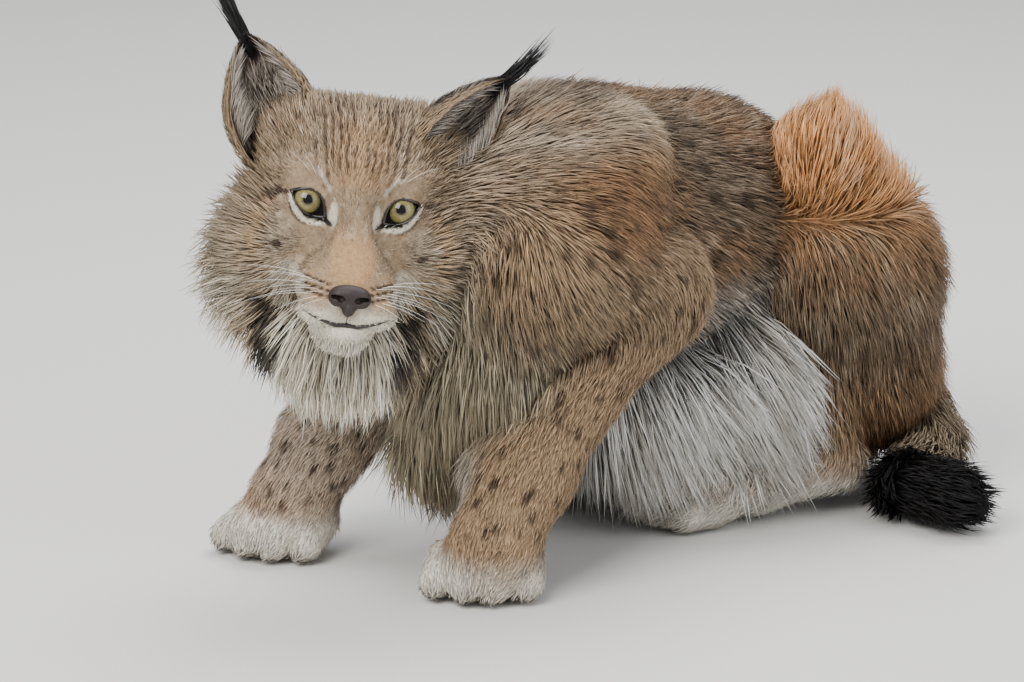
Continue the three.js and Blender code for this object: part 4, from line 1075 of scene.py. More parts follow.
def plain_material(name, colour, roughness, coat=0.0, bump=None):
    """One colour all over, with pebbled relief where bump gives its scale, strength and depth."""
    material = bpy.data.materials.new(name)
    material.use_nodes = True
    tree = material.node_tree
    shader = tree.nodes["Principled BSDF"]
    shader.inputs["Base Color"].default_value = (*colour, 1)
    shader.inputs["Roughness"].default_value = roughness
    shader.inputs["Coat Weight"].default_value = coat
    shader.inputs["Coat Roughness"].default_value = 0.1
    if bump:
        scale, strength, depth = bump
        place = node(tree, "ShaderNodeTexCoord", (-900, -200))
        pebbles = node(tree, "ShaderNodeTexVoronoi", (-650, -200), Scale=scale)
        relief = node(tree, "ShaderNodeBump", (-300, -200), Strength=strength, Distance=depth)
        tree.links.new(place.outputs["Object"], pebbles.inputs["Vector"])
        tree.links.new(pebbles.outputs["Distance"], relief.inputs["Height"])
        tree.links.new(relief.outputs["Normal"], shader.inputs["Normal"])
    return material


# Tufts.
TUFT_SHAPES = {
    # (place along, width share, thickness share) rings of a long and of a short tuft, then the bows.
    "long": ([(0, 0.5), (0.38, 1.0), (0.76, 0.62)], (0.10, 0.17, 0.04)),
    "short": ([(0, 0.6), (0.5, 0.9)], (0.08, 0.14, 0.03)),
}
TUFT_THICK = 0.016
SIZE_SPREAD = (0.86, 1.1)
PATCH = 0.003


def tuft_shape(name, rings, bow):
    """One closed three-sided tuft, one unit long, one unit wide, with its tip along +Z."""
    points, along, flat = [], [], []
    for t, share in rings:
        rise = bow * math.sin(math.pi * (0.12 + 0.88 * t))
        for x, y in ((-0.5, 0), (0.5, 0), (0, 1)):
            points.append((x * share, rise + y * TUFT_THICK * share, t))
            along.append(t)
            flat.append((0.5 + x * share, t))
    points.append((0, bow * 0.12, 1))
    along.append(1)
    flat.append((0.5, 1))
    faces = [(2, 1, 0)]
    for r in range(len(rings) - 1):
        for s in range(3):
            a, b = r * 3 + s, r * 3 + (s + 1) % 3
            faces += [(a, b, b + 3), (a, b + 3, a + 3)]
    last = (len(rings) - 1) * 3
    tip = len(points) - 1
    faces += [(last + s, last + (s + 1) % 3, tip) for s in range(3)]
    obj = new_mesh(name, np.array(points), faces, in_place=True)
    put_values(obj, "along", "FLOAT", along)
    return obj, np.array(flat)


def tuft_tree(shapes, material):
    """Sets one of the tuft shapes on every point, turned and sized by the point's own values."""
    tree = bpy.data.node_groups.new("Coat tufts", "GeometryNodeTree")
    face = tree.interface
    face.new_socket("Geometry", in_out="INPUT", socket_type="NodeSocketGeometry")
    for name, value in (("Length", 1.0), ("Width", 1.0)):
        face.new_socket(name, in_out="INPUT", socket_type="NodeSocketFloat").default_value = value
    face.new_socket("Seed", in_out="INPUT", socket_type="NodeSocketInt").default_value = 7
    face.new_socket("Geometry", in_out="OUTPUT", socket_type="NodeSocketGeometry")
    entry = node(tree, "NodeGroupInput", (-900, 0))
    leave = node(tree, "NodeGroupOutput", (900, 0))
    turn, size, shape = (
        node(tree, "GeometryNodeInputNamedAttribute", (-700, height), data_type=kind, Name=name)
        for name, kind, height in (("turn", "FLOAT_VECTOR", -200), ("size", "FLOAT_VECTOR", -400),
                                   ("shape", "INT", 200)))
    rotation = node(tree, "FunctionNodeEulerToRotation", (-450, -200))
    factor = node(tree, "ShaderNodeCombineXYZ", (-700, -600))
    jitter = node(tree, "FunctionNodeRandomValue", (-450, -600), data_type="FLOAT")
    jitter.inputs[2].default_value, jitter.inputs[3].default_value = SIZE_SPREAD
    scaled = node(tree, "ShaderNodeVectorMath", (-450, -400), operation="MULTIPLY")
    varied = node(tree, "ShaderNodeVectorMath", (-200, -400), operation="SCALE")
    join = node(tree, "GeometryNodeJoinGeometry", (-450, 400))
    instance = node(tree, "GeometryNodeInstanceOnPoints", (100, 0))
    instance.inputs["Pick Instance"].default_value = True
    realize = node(tree, "GeometryNodeRealizeInstances", (350, 0))
    paint_it = node(tree, "GeometryNodeSetMaterial", (600, 0), Material=material)
    link = tree.links.new
    for shape_object in reversed(shapes):
        info = node(tree, "GeometryNodeObjectInfo", (-700, 500), Object=shape_object)
        info.inputs["As Instance"].default_value = True
        link(info.outputs["Geometry"], join.inputs["Geometry"])
    for start, end in (
        (entry.outputs["Geometry"], instance.inputs["Points"]),
        (join.outputs["Geometry"], instance.inputs["Instance"]),
        (shape.outputs["Attribute"], instance.inputs["Instance Index"]),
        (turn.outputs["Attribute"], rotation.inputs["Euler"]),
        (rotation.outputs["Rotation"], instance.inputs["Rotation"]),
        (entry.outputs["Width"], factor.inputs["X"]),
        (entry.outputs["Length"], factor.inputs["Y"]),
        (entry.outputs["Length"], factor.inputs["Z"]),
        (entry.outputs["Seed"], jitter.inputs["Seed"]),
        (size.outputs["Attribute"], scaled.inputs[0]),
        (factor.outputs["Vector"], scaled.inputs[1]),
        (scaled.outputs["Vector"], varied.inputs[0]),
        (jitter.outputs[1], varied.inputs["Scale"]),
        (varied.outputs["Vector"], instance.inputs["Scale"]),
        (instance.outputs["Instances"], realize.inputs["Geometry"]),
        (realize.outputs["Geometry"], paint_it.inputs["Geometry"]),
        (paint_it.outputs["Geometry"], leave.inputs["Geometry"]),
    ):
        link(start, end)
    return tree


def turns(way, out):
    """Euler turns that point a tuft along way, with its back towards out."""
    z = unit(way)
    x = unit(np.cross(out, z))
    y = np.cross(z, x)
    flat = np.hypot(x[:, 0], x[:, 1])
    return np.stack([np.arctan2(y[:, 2], z[:, 2]), np.arctan2(-x[:, 2], flat), np.arctan2(x[:, 1], x[:, 0])],
                    axis=1)


def grow_coat(name, slot, kind, roots, way, out, length, width, tint, patch, seed):
    """One piece of coat: a tuft on every root, made by geometry nodes and turned into a plain mesh."""
    rng = np.random.default_rng(seed)
    sizes = settings("lynx_coat")
    rings, bows = TUFT_SHAPES[kind]
    made = [tuft_shape(f"tuft_{i}", rings, bow) for i, bow in enumerate(bows)]
    shapes, flat = [m[0] for m in made], made[0][1]
    material = coat_material("Tufted coat", True)
    points = new_mesh(name, roots, np.zeros((0, 3)))
    put_values(points, "turn", "FLOAT_VECTOR", turns(way, out))
    put_values(points, "size", "FLOAT_VECTOR", np.stack([width, length, length], axis=1) / 1000)
    put_values(points, "shape", "INT", rng.integers(0, len(shapes), len(roots)))
    put_values(points, "tint", "FLOAT_COLOR", tint)
    put_values(points, "patch", "FLOAT_VECTOR", np.concatenate([patch, np.zeros((len(patch), 1))], axis=1))
    tree = tuft_tree(shapes, material)
    modifier = points.modifiers.new("Coat tufts", "NODES")
    modifier.node_group = tree
    values = {"Length": sizes.length, "Width": sizes.width, "Seed": seed}
    for item in tree.interface.items_tree:
        if item.in_out == "INPUT" and item.name in values:
            modifier[item.identifier] = values[item.name]
    seen = bpy.context.evaluated_depsgraph_get()
    mesh = bpy.data.meshes.new_from_object(points.evaluated_get(seen))
    points.modifiers.clear()
    bpy.data.objects.remove(points)
    for shape in shapes:
        bpy.data.objects.remove(shape)
    bpy.data.node_groups.remove(tree)
    mesh.name = name
    piece = bpy.data.objects.new(name, mesh)
    bpy.context.scene.collection.objects.link(piece)
    each = len(flat)
    corner = np.zeros(len(mesh.loops), dtype=np.int32)
    mesh.loops.foreach_get("vertex_index", corner)
    place = np.zeros(len(mesh.vertices) * 3, dtype=F)
    mesh.attributes["patch"].data.foreach_get("vector", place)
    place = place.reshape(-1, 3)[:, :2]
    put_uv(piece, place[corner] + PATCH * (flat[corner % each] - 0.5))
    for spare in ("turn", "size", "shape", "patch"):
        layer = mesh.attributes.get(spare)
        if layer:
            mesh.attributes.remove(layer)
    mesh.polygons.foreach_set("use_smooth", np.ones(len(mesh.polygons), dtype=bool))
    if not mesh.materials:
        mesh.materials.append(material)
    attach(piece, "root")
    return piece


def sow(points, triangles, dense, rng):
    """Random places on triangles, dense per square millimetre at each point: triangle and three shares."""
    a, b, c = (points[triangles[:, i]] for i in range(3))
    area = size_of(np.cross(b - a, c - a)) / 2
    wanted = area * dense[triangles].mean(1)
    count = np.floor(wanted + rng.random(len(wanted))).astype(int)
    chosen = np.repeat(np.arange(len(triangles)), count)
    u, v = rng.random(len(chosen)), rng.random(len(chosen))
    over = u + v > 1
    u[over], v[over] = 1 - u[over], 1 - v[over]
    return chosen, np.stack([1 - u - v, u, v], axis=1)


SHARED = {}


FLESH = ["head", "neck", "torso", "tail", "tail_tip"] + [
    f"{part}_{name}" for part in ("shoulder", "forearm", "forepaw", "thigh", "shank", "hindfoot")
    for name in SIGNS
]


# The skin's grid: cell sizes, and for each axis its two ends and the finer stretch of the face.
CELL, FINE_CELL = 6.5, 2.1
SKIN_GRID = [(-262, 386, -205, -50), (-80, 506, -66, 60), (-8, 470, 190, 372)]


class LYNX_OT_skin(bpy.types.Operator):
    """The one skin under the coat, from nose to tail"""
    bl_idname = "lynx.skin"
    bl_label = "Skin"

    def execute(self, context):
        marks = [grid_lines(lo, hi, CELL, (start, end, FINE_CELL)) for lo, hi, start, end in SKIN_GRID]
        points, triangles, normals = facets(skin_form, marks)
        keep = largest_piece(len(points), triangles)
        if not keep.all():
            names = np.cumsum(keep) - 1
            triangles = names[triangles[keep[triangles[:, 0]]]]
            points, normals = points[keep], normals[keep]
        skin = new_mesh("skin", points, triangles)
        shares = region_shares(points)
        lie = lie_of_coat(points, shares)
        lengths = mixed(shares, {k: arr(v[0]) for k, v in COAT.items()})
        tint = coat_colours(points + lie * lengths * 0.35, shares, chart())
        put_values(skin, "tint", "FLOAT_COLOR", tint * 0.8)
        uv = unwrap(skin)
        skin.data.materials.append(coat_material("Short coat", False))
        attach(skin, "root")
        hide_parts(*FLESH)
        SHARED.update(points=points, triangles=triangles, normals=normals, shares=shares, uv=uv)
        return {"FINISHED"}


def largest_piece(count, triangles):
    """True for the points of the biggest connected surface."""
    group = np.arange(count)
    while True:
        least = group[triangles].min(1)
        before = group.copy()
        for i in range(3):
            np.minimum.at(group, triangles[:, i], least)
        group = group[group]
        if (group == before).all():
            break
    return group == np.bincount(group).argmax()


def unwrap(obj):
    """Lays the skin out flat by its own shape, and returns the corners' places."""
    bpy.context.view_layer.objects.active = obj
    for other in bpy.context.view_layer.objects:
        other.select_set(other == obj)
    obj.data.uv_layers.new(name="OFBake")
    bpy.ops.object.mode_set(mode="EDIT")
    bpy.ops.mesh.select_all(action="SELECT")
    bpy.ops.uv.smart_project(angle_limit=math.radians(66), island_margin=0.002)
    bpy.ops.object.mode_set(mode="OBJECT")
    uv = np.zeros(len(obj.data.loops) * 2, dtype=F)
    obj.data.uv_layers["OFBake"].data.foreach_get("uv", uv)
    return uv.reshape(-1, 3, 2)


# Pieces of coat: name, tuft kind, slot, regions, and the side where it takes one side only.
COAT_PIECES = [
    ("coat_face", "short", "face_coat", ("face",), 0),
    ("coat_ruff", "long", "face_coat", ("ruff",), 0),
    ("coat_neck", "short", "body_coat", ("neck", "chest"), 0),
    ("coat_back", "short", "body_coat", ("back",), 0),
    ("coat_rump", "short", "body_coat", ("rump",), 0),
    ("coat_fringe", "short", "body_coat", ("fringe",), 0),
    ("coat_shoulders", "short", "body_coat", ("arm",), 0),
    ("coat_forelegs", "short", "leg_coat", ("forearm",), 0),
    ("coat_feet", "short", "paw_coat", ("forepaw", "hindfoot"), 0),
    ("coat_thigh_left", "short", "thigh_coat", ("thigh",), 1),
    ("coat_thigh_right", "short", "thigh_coat", ("thigh",), -1),
    ("coat_tail", "short", "black_coat", ("tail", "shank"), 0),
]


def cheek_share(q):
    """How much a point of the face belongs to the long coat of the cheeks."""
    return ramp(np.abs(q[:, 0]), 46, 76) * (1 - ramp(q[:, 1], 34, 84))


def face_lengths(q):
    """Length factor of the face's short hair: shortest round nose and eyes, longer towards the cheeks."""
    away = size_of(q - arr(0, -45, 95))
    near_eye = np.minimum(size_of(q - eye_centre(1)), size_of(q - eye_centre(-1)))
    short = (3.0 + 0.072 * away) * (0.42 + 0.58 * ramp(near_eye, 16, 42))
    side = np.abs(q[:, 0])
    by_ear = 1 - ramp(size_of(np.stack([side - 62, q[:, 1] - 74, q[:, 2] + 6], axis=1)), 20, 40)
    return (short + 17 * cheek_share(q) + 9 * by_ear + 10 * ramp(-q[:, 1], 76, 84)) / 11


def ear_gap(q):
    """Distance from each ear's middle line to points in the head's frame."""
    return np.minimum(*(near_line(q, ear["root"], ear["tip"]) for ear in EARS.values()))


ROOT_DEPTH = 1.2
BARE_NOSE = egg(arr(0, -49, 96), (17, 12, 12))
# Clumps of the coat: size in mm and seed.
BIG_CLUMP, SMALL_CLUMP = (15.0, 3), (6.5, 4)


def bare(q):
    """True where no coat grows: between the lids and on the nose."""
    found = BARE_NOSE(q) <= 0
    for sign in (1, -1):
        s = lens_coords(q, sign)
        top, low = lens_edge(s[:, 0], 1.8)
        inside = (s[:, 1] < top) & (s[:, 1] > low) & (s[:, 2] > 0) & (np.abs(s[:, 0]) < SLIT["half"] + 1.8)
        found |= inside & (size_of(q - eye_centre(sign)) < 30)
    return found


def along_skin(v, *normals):
    """Vectors without what they have along each of the normals."""
    return v - sum(n * (v * n).sum(1, keepdims=True) for n in normals)


class LYNX_OT_coat(bpy.types.Operator):
    """The coat: tufts over the whole skin along its lie"""
    bl_idname = "lynx.coat"
    bl_label = "Coat"

    def execute(self, context):
        sizes = settings("lynx_coat")
        rng = np.random.default_rng(sizes.seed)
        points, triangles, normals = SHARED["points"], SHARED["triangles"], SHARED["normals"]
        shares = SHARED["shares"]
        dense = mixed(shares, {k: arr(v[3]) for k, v in COAT.items()})[:, 0] / 100 * sizes.density
        chosen, part = sow(points, triangles, dense, rng)
        blend3 = lambda values: (values[triangles[chosen]] * part[:, :, None]).sum(1)
        root, out = blend3(points), unit(blend3(normals))
        patch = (SHARED["uv"][chosen] * part[:, :, None]).sum(1)
        q = head_coords(root)
        keep = (root[:, 2] > 1.5) & ~bare(q)
        root, out, patch, q = root[keep], out[keep], patch[keep], q[keep]
        shares = region_shares(root)
        values = mixed(shares, {k: arr(*v) for k, v in COAT.items()})
        length, lift, width = values[:, 0], values[:, 1], values[:, 2]
        face = shares[:, 0]
        length = length * (1 + face * (face_lengths(q) - 1))
        lift = lift * (1 + face * 1.3 * cheek_share(q))
        way = lie_of_coat(root, shares)
        rising = (way * out).sum(1, keepdims=True)
        way = unit(way - out * rising * np.where(rising > 0, 0.8, 1))
        across = along_skin(nearest_cell(root, *BIG_CLUMP)[1], out, way)
        fine = along_skin(nearest_cell(root, *SMALL_CLUMP)[1], out)
        hold = np.clip((length - 12) / 30, 0, 1)[:, None]
        lean = across * 0.45 * hold + fine * 0.3
        loose = rng.normal(0, 1, root.shape)
        aim = way * length[:, None] + lean + out * (lift * length)[:, None]
        aim = aim + loose * (length * 0.085)[:, None]
        wave = (mottle(root, 40, 6) - 0.5)[:, None] * np.cross(out, way) * length[:, None] * 0.35
        aim = unit(aim + wave)
        beard = 1 + shares[:, 1] * 0.35 * ramp(-q[:, 1], 50, 90)
        length = length * (0.78 + 0.36 * rng.random(len(root))) * beard
        middle = head_coords(root + aim * (0.6 * length)[:, None])
        length = length * np.where(face > 0.5, 1, 0.25 + 0.75 * ramp(ear_gap(middle), 24, 34))
        low = root[:, 2] + aim[:, 2] * length < 2.5
        aim[low, 2] = np.maximum(aim[low, 2], (2.5 - root[low, 2]) / length[low])
        aim = unit(aim)
        room = np.maximum(root[:, 2] - 4, 2) / np.maximum(-aim[:, 2], 0.02) / 1.12
        length = np.minimum(length, room)
        tint = coat_colours(root + aim * (length * 0.6)[:, None], shares, chart())
        fleck = rng.normal(1, 0.13, len(root))
        guard = rng.random(len(root))
        long_coat = np.clip((length - 14) / 20, 0, 1)
        fleck = np.where(guard < 0.10 * long_coat, fleck * 0.55, fleck)
        fleck = np.where(guard > 1 - 0.12 * long_coat, fleck * 1.4, fleck)
        tint = np.clip(tint * fleck[:, None], 0.002, 0.95)
        start = root - out * ROOT_DEPTH
        width = width * (0.75 + 0.5 * rng.random(len(root)))
        mine = shares.argmax(1)
        left = (root - WITHERS) @ LEFTWARD
        for number, (name, kind, slot, regions, half) in enumerate(COAT_PIECES):
            pick = np.isin(mine, [REGIONS.index(r) for r in regions])
            pick &= (left * half > 0) | (half == 0)
            if not pick.any():
                raise RuntimeError(name + " has no roots")
            values = (v[pick] for v in (start, aim, out, length, width, tint, patch))
            grow_coat(name, slot, kind, *values, sizes.seed + number)
        return {"FINISHED"}


# Ears.
EARS = {
    "left": {"root": arr(60, 62, 4), "tip": arr(104, 126, -14), "open": arr(0.3, -0.35, 0.9), "wide": 33,
             "deep": 24},
    "right": {"root": arr(-61, 67, -10), "tip": arr(-91, 135, -20), "open": arr(-0.1, 0.05, 0.99), "wide": 37,
              "deep": 26},
}
EAR_SPREAD = 1.95
EAR_ROWS, EAR_STEPS, EAR_WALL = 34, 26, 2.2


def ear_fullness(t):
    """Width of the cup from foot to tip, as a share of its widest."""
    return np.maximum(0.05, np.sqrt(np.maximum(0, 1 - t ** 1.9)) * (0.8 + 0.32 * np.sin(np.pi * t)))


def ear_frame(ear):
    """Height of an ear, and its ways up, out of the opening and across."""
    up = ear["tip"] - ear["root"]
    height = math.sqrt(up @ up)
    up = up / height
    front = unit(ear["open"] - up * (ear["open"] @ up))
    return height, up, front, np.cross(up, front)


def ear_point(ear, t, a, grow):
    """A point of the cup: t from foot to tip, a round the back, grow outward in mm."""
    height, up, front, across = ear_frame(ear)
    full = ear_fullness(t)
    w, d = ear["wide"] * full + grow, ear["deep"] * full + grow
    curl = 1 - 0.10 * ramp(np.abs(a), 1.2, EAR_SPREAD)
    place = ear["root"] + up * (height * (-0.28 + 1.28 * t))[:, None]
    place = place + across * (w * np.sin(a) * curl)[:, None]
    return place + front * (-d * np.cos(a) + 6 * t)[:, None]


def ear_shell(ear):
    """The cup of an ear: an outer and an inner wall that meet in a thin rim."""
    turn = np.linspace(-EAR_SPREAD, EAR_SPREAD, EAR_STEPS + 1)
    rings = []
    for value in np.linspace(0, 1, EAR_ROWS + 1):
        rim = np.clip(1 - (np.abs(turn) / EAR_SPREAD) ** 8, 0.2, 1)
        inner = -np.minimum(EAR_WALL, ear["wide"] * ear_fullness(value) * 0.4) * rim
        there = np.full(EAR_STEPS + 1, value)
        outer_ring = ear_point(ear, there, turn, np.full(EAR_STEPS + 1, -1.2))
        inner_ring = ear_point(ear, there, turn, -1.2 + inner)
        rings.append(np.concatenate([outer_ring, inner_ring[::-1]]))
    return loft(rings)


def loft(rings, closed=False):
    """Closes a stack of rings into a mesh: points and triangles facing out."""
    sides = len(rings[0])
    points = np.concatenate(rings)
    faces = []
    for r in range(len(rings) if closed else len(rings) - 1):
        n = (r + 1) % len(rings)
        for s in range(sides):
            a, b = r * sides + s, r * sides + (s + 1) % sides
            c, d = n * sides + (s + 1) % sides, n * sides + s
            faces += [(a, b, c), (a, c, d)]
    if not closed:
        for r, flip in ((0, True), (len(rings) - 1, False)):
            points = np.concatenate([points, [np.asarray(rings[r]).mean(0)]])
            for s in range(sides):
                a, b = r * sides + s, r * sides + (s + 1) % sides
                faces.append((b, a, len(points) - 1) if flip else (a, b, len(points) - 1))
    faces = np.array(faces)
    a, b, c = (points[faces[:, i]] for i in range(3))
    if (a * np.cross(b, c)).sum() < 0:
        faces = faces[:, ::-1]
    return points, faces


def box_uv(points, faces):
    """Corner places for a small piece: laid out front and back by its own box."""
    lo, hi = points.min(0), points.max(0)
    flat = (points - lo) / np.maximum(hi - lo, 1e-6)
    corners = flat[faces]
    normal = np.cross(points[faces[:, 1]] - points[faces[:, 0]], points[faces[:, 2]] - points[faces[:, 0]])
    facing = normal[:, 1] < 0
    uv = corners[:, :, [0, 2]] * 0.46 + 0.02
    uv[~facing, :, 0] += 0.5
    return uv


# EAR_DEPTH, the hair deep in the cup, is darker than the fringe as painted shade.
EAR_HOLLOW, EAR_FRINGE, EAR_DEPTH = srgb(96, 80, 70), srgb(172, 162, 150), srgb(150, 140, 128)


def tinted(colour, many, rng, mean, spread):
    """One colour for many hairs, each a little lighter or darker."""
    return np.tile(np.asarray(colour), (many, 1)) * rng.normal(mean, spread, many)[:, None]


def ear_colours(t, a, inside, c):
    """Colours of the cup: pale spot and black rim behind, grey within."""
    n = len(t)
    tint = np.tile(np.asarray(c["face"]) * 0.85, (n, 1))
    side = np.abs(a)
    spot = (1 - ramp(side, 0.25, 0.6)) * (1 - ramp(np.abs(t - 0.5), 0.14, 0.3))
    tint = paint(tint, c["pale_tip"], spot * 0.8)
    tint = paint(tint, c["black"], ramp(t, 0.72, 0.95) * 0.95)
    band = ramp(side, 0.7, 1.0) * (1 - ramp(side, 1.45, 1.65)) * ramp(t, 0.3, 0.5)
    tint = paint(tint, c["black"], band * 0.85)
    tint = paint(tint, c["leg"], ramp(side, 1.55, 1.8) * (1 - ramp(t, 0.8, 0.95)) * 0.45)
    within = paint(np.tile(np.asarray(EAR_HOLLOW), (n, 1)), c["face"], ramp(side, 0.9, 1.8) * 0.6)
    tint = np.where(inside[:, None], within, tint)
    return np.where(inside[:, None], paint(tint, c["black"], ramp(t, 0.8, 0.97) * 0.8), tint)


class LYNX_OT_ears(bpy.types.Operator):
    """Ears: cups with a short coat behind, pale hair within and a black tuft on the tip"""
    bl_idname = "lynx.ears"
    bl_label = "Ears"

    def execute(self, context):
        colours = chart()
        for number, (name, ear) in enumerate(EARS.items()):
            rng = np.random.default_rng(300 + number)
            points, faces = ear_shell(ear)
            place = SKULL + points @ HEAD_AXES.T
            shell = new_mesh("ear_shell_" + name, place, faces)
            turn = np.linspace(-EAR_SPREAD, EAR_SPREAD, EAR_STEPS + 1)
            a = np.append(np.tile(np.concatenate([turn, turn[::-1]]), EAR_ROWS + 1), [0, 0])
            t = np.append(np.repeat(np.linspace(0, 1, EAR_ROWS + 1), 2 * (EAR_STEPS + 1)), [0, 1])
            inside = np.append(np.tile(np.repeat([False, True], EAR_STEPS + 1), EAR_ROWS + 1), [False, False])
            put_values(shell, "tint", "FLOAT_COLOR", ear_colours(t, a, inside, colours) * 0.85)
            put_uv(shell, box_uv(place, faces).reshape(-1, 2))
            shell.data.materials.append(coat_material("Short coat", False))
            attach(shell, "root")
            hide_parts("ear_" + name)
            self.hair(name, ear, rng, colours, number)
        return {"FINISHED"}

    def hair(self, name, ear, rng, colours, number):
        _, up, front, across = ear_frame(ear)
        facing = lambda count: np.tile(front, (count, 1))
        sets = []
        # Short coat on the back of the cup, and along its rim.
        many = 3900
        t, a = rng.random(many) ** 0.8 * 0.98, (rng.random(many) * 2 - 1) * EAR_SPREAD
        e = 0.02
        here = ear_point(ear, t, a, np.full(many, -1.4))
        rise = ear_point(ear, t + e, a, np.full(many, -1.4)) - here
        round_way = ear_point(ear, t, a + e, np.full(many, -1.4)) - here
        out = unit(np.cross(rise, round_way))
        away = across * np.sin(a)[:, None] - front * np.cos(a)[:, None]
        out = out * np.sign((out * away).sum(1, keepdims=True))
        way = unit(unit(rise) + unit(round_way) * 0.25 * np.sign(a)[:, None] + out * 0.25)
        tint = ear_colours(t, a, np.zeros(many, bool), colours)
        sets.append((here, way, out, 7.5 + 5 * rng.random(many), np.full(many, 1.1), tint))
        # Long pale hair from the edges of the cup, leaning over its opening.
        many = 1500
        edge = np.where(rng.random(many) < 0.7, -1.0, 1.0) * (-1 if name == "left" else 1)
        t = 0.18 + 0.66 * rng.random(many)
        a = edge * (EAR_SPREAD * (0.66 + 0.24 * rng.random(many)))
        here = ear_point(ear, t, a, np.full(many, -3.4))
        inward = -across * np.sign(a)[:, None] + np.zeros((many, 3))
        upward, sideways, forward = (low + high * rng.random(many)
                                     for low, high in ((0.85, 0.25), (0.35, 0.8), (0.02, 0.3)))
        way = unit(up * upward[:, None] + inward * sideways[:, None] + front * forward[:, None])
        pale = tinted(EAR_FRINGE, many, rng, 0.9, 0.2)
        long = (15 + 22 * rng.random(many)) * (1 - 0.5 * t)
        sets.append((here, way, facing(many), long, np.full(many, 0.85), np.clip(pale, 0, 0.9)))
        # Hair in the depth of the cup, darker as painted shade of the hollow.
        many = 900
        t = 0.1 + 0.62 * rng.random(many)
        a = (rng.random(many) * 2 - 1) * 1.2
        here = ear_point(ear, t, a, np.full(many, -4.2))
        way = unit(up + front * 0.5 + rng.normal(0, 0.15, (many, 3)))
        deep = tinted(EAR_DEPTH, many, rng, 1, 0.2)
        long = 13 + 12 * rng.random(many)
        sets.append((here, way, facing(many), long, np.full(many, 0.85), np.clip(deep, 0, 1)))
        # The tuft.
        many = 210
        start = ear["tip"] - up * (14 * rng.random(many))[:, None] + rng.normal(0, 1.6, (many, 3))
        away = math.copysign(1, ear["tip"][0])
        lean = rng.random(many)
        way = unit(up + arr(away * 0.16, 0, -0.05) + arr(1, 0, 0) * away * (0.16 * lean)[:, None]
                   + rng.normal(0, 0.055, (many, 3)))
        dark = tinted(colours["black"], many, rng, 1, 0.3)
        long = (34 + 32 * rng.random(many)) * (1 - 0.25 * lean)
        sets.append((start, way, facing(many), long, np.full(many, 1.1), np.clip(dark, 0.002, 1)))
        here, way, out, long, wide, tint = (np.concatenate(v) for v in zip(*sets))
        lo, hi = here.min(0), here.max(0)
        spread = (here - lo) / (hi - lo)
        patch = spread[:, :2] * 0.44 + 0.03
        patch[:, 0] += 0.5 * (out @ front < 0)
        grow_coat("ear_coat_" + name, "ear_coat", "short", SKULL + here @ HEAD_AXES.T, way @ HEAD_AXES.T,
                  out @ HEAD_AXES.T, long, wide, tint, patch, 60 + number)


# Eyes, nose, lips and whiskers.
def tube(path, radii, sides=8, closed=False, flat=None):
    """A tube along a path, with a radius at each point."""
    path = np.asarray(path, dtype=np.float64)
    n = len(path)
    if closed:
        along = unit(np.roll(path, -1, axis=0) - np.roll(path, 1, axis=0))
    else:
        along = unit(np.gradient(path, axis=0))
    guide = np.tile(arr(0, 0, 1) if flat is None else flat, (n, 1))
    x = unit(np.cross(guide, along))
    y = np.cross(along, x)
    angles = np.linspace(0, 2 * np.pi, sides, endpoint=False)
    rings = []
    for i in range(n):
        ring = path[i] + radii[i] * (np.cos(angles)[:, None] * x[i] + np.sin(angles)[:, None] * y[i])
        rings.append(ring)
    return loft(rings, closed)


def joined(parts):
    points, faces, count = [], [], 0
    for p, f in parts:
        points.append(p)
        faces.append(np.asarray(f) + count)
        count += len(p)
    return np.concatenate(points), np.concatenate(faces)


def head_piece(name, points, faces, material, slot, *nodes):
    """A finished piece of the face, from points in the head's frame."""
    obj = new_mesh(name, SKULL + np.asarray(points) @ HEAD_AXES.T, faces)
    obj.data.materials.append(material)
    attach(obj, "root")
    if nodes:
        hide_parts(*nodes)
    return obj


def on_face(x, y):
    """Where a line straight back from the front meets the skin of the face."""
    x, y = np.asarray(x, float), np.asarray(y, float)
    q = np.stack([x, y, np.full(len(x), 122.0)], axis=1)
    for _ in range(90):
        q[:, 2] -= BARE_FACE(q) * 0.75
    return q


def eye_material():
    face = settings("lynx_face")
    material = bpy.data.materials.new("Eye")
    material.use_nodes = True
    tree = material.node_tree
    shader = tree.nodes["Principled BSDF"]
    shader.inputs["Roughness"].default_value = 0.06
    shader.inputs["Specular IOR Level"].default_value = 0.3
    shader.inputs["Coat Weight"].default_value = 0.35
    shader.inputs["Coat Roughness"].default_value = 0.02
    radial = node(tree, "ShaderNodeAttribute", (-1100, 200), attribute_name="radial")
    spoke = node(tree, "ShaderNodeAttribute", (-1100, -100), attribute_name="spoke")
    streaks = node(tree, "ShaderNodeTexNoise", (-850, -100), Scale=3.4, Detail=5.0)
    rings = node(tree, "ShaderNodeValToRGB", (-850, 250))
    share = face.pupil / (EYE["r"] * 0.81 / 1000)
    stops = [
        (0.0, (0.002, 0.002, 0.002)), (share, (0.003, 0.003, 0.002)),
        (share + 0.05, tuple(v * 0.45 for v in face.iris)), (share + 0.18, tuple(face.iris)),
        (0.78, tuple(v * 0.85 for v in face.iris)), (0.9, tuple(face.iris_rim)),
        (0.97, (0.012, 0.010, 0.008)), (1.0, (0.02, 0.014, 0.012)),
    ]
    ramp_stops = rings.color_ramp.elements
    while len(ramp_stops) < len(stops):
        ramp_stops.new(0.5)
    for element, (place, colour) in zip(ramp_stops, stops):
        element.position = place
        element.color = (*colour, 1)
    link = tree.links.new
    link(radial.outputs["Fac"], rings.inputs["Fac"])
    link(spoke.outputs["Vector"], streaks.inputs["Vector"])
    light = stretched(tree, (-600, -100), streaks.outputs["Fac"], 0.72, 1.2, 0.3, 0.7)
    link(times(tree, (-350, 100), rings.outputs["Color"], light), shader.inputs["Base Color"])
    return material


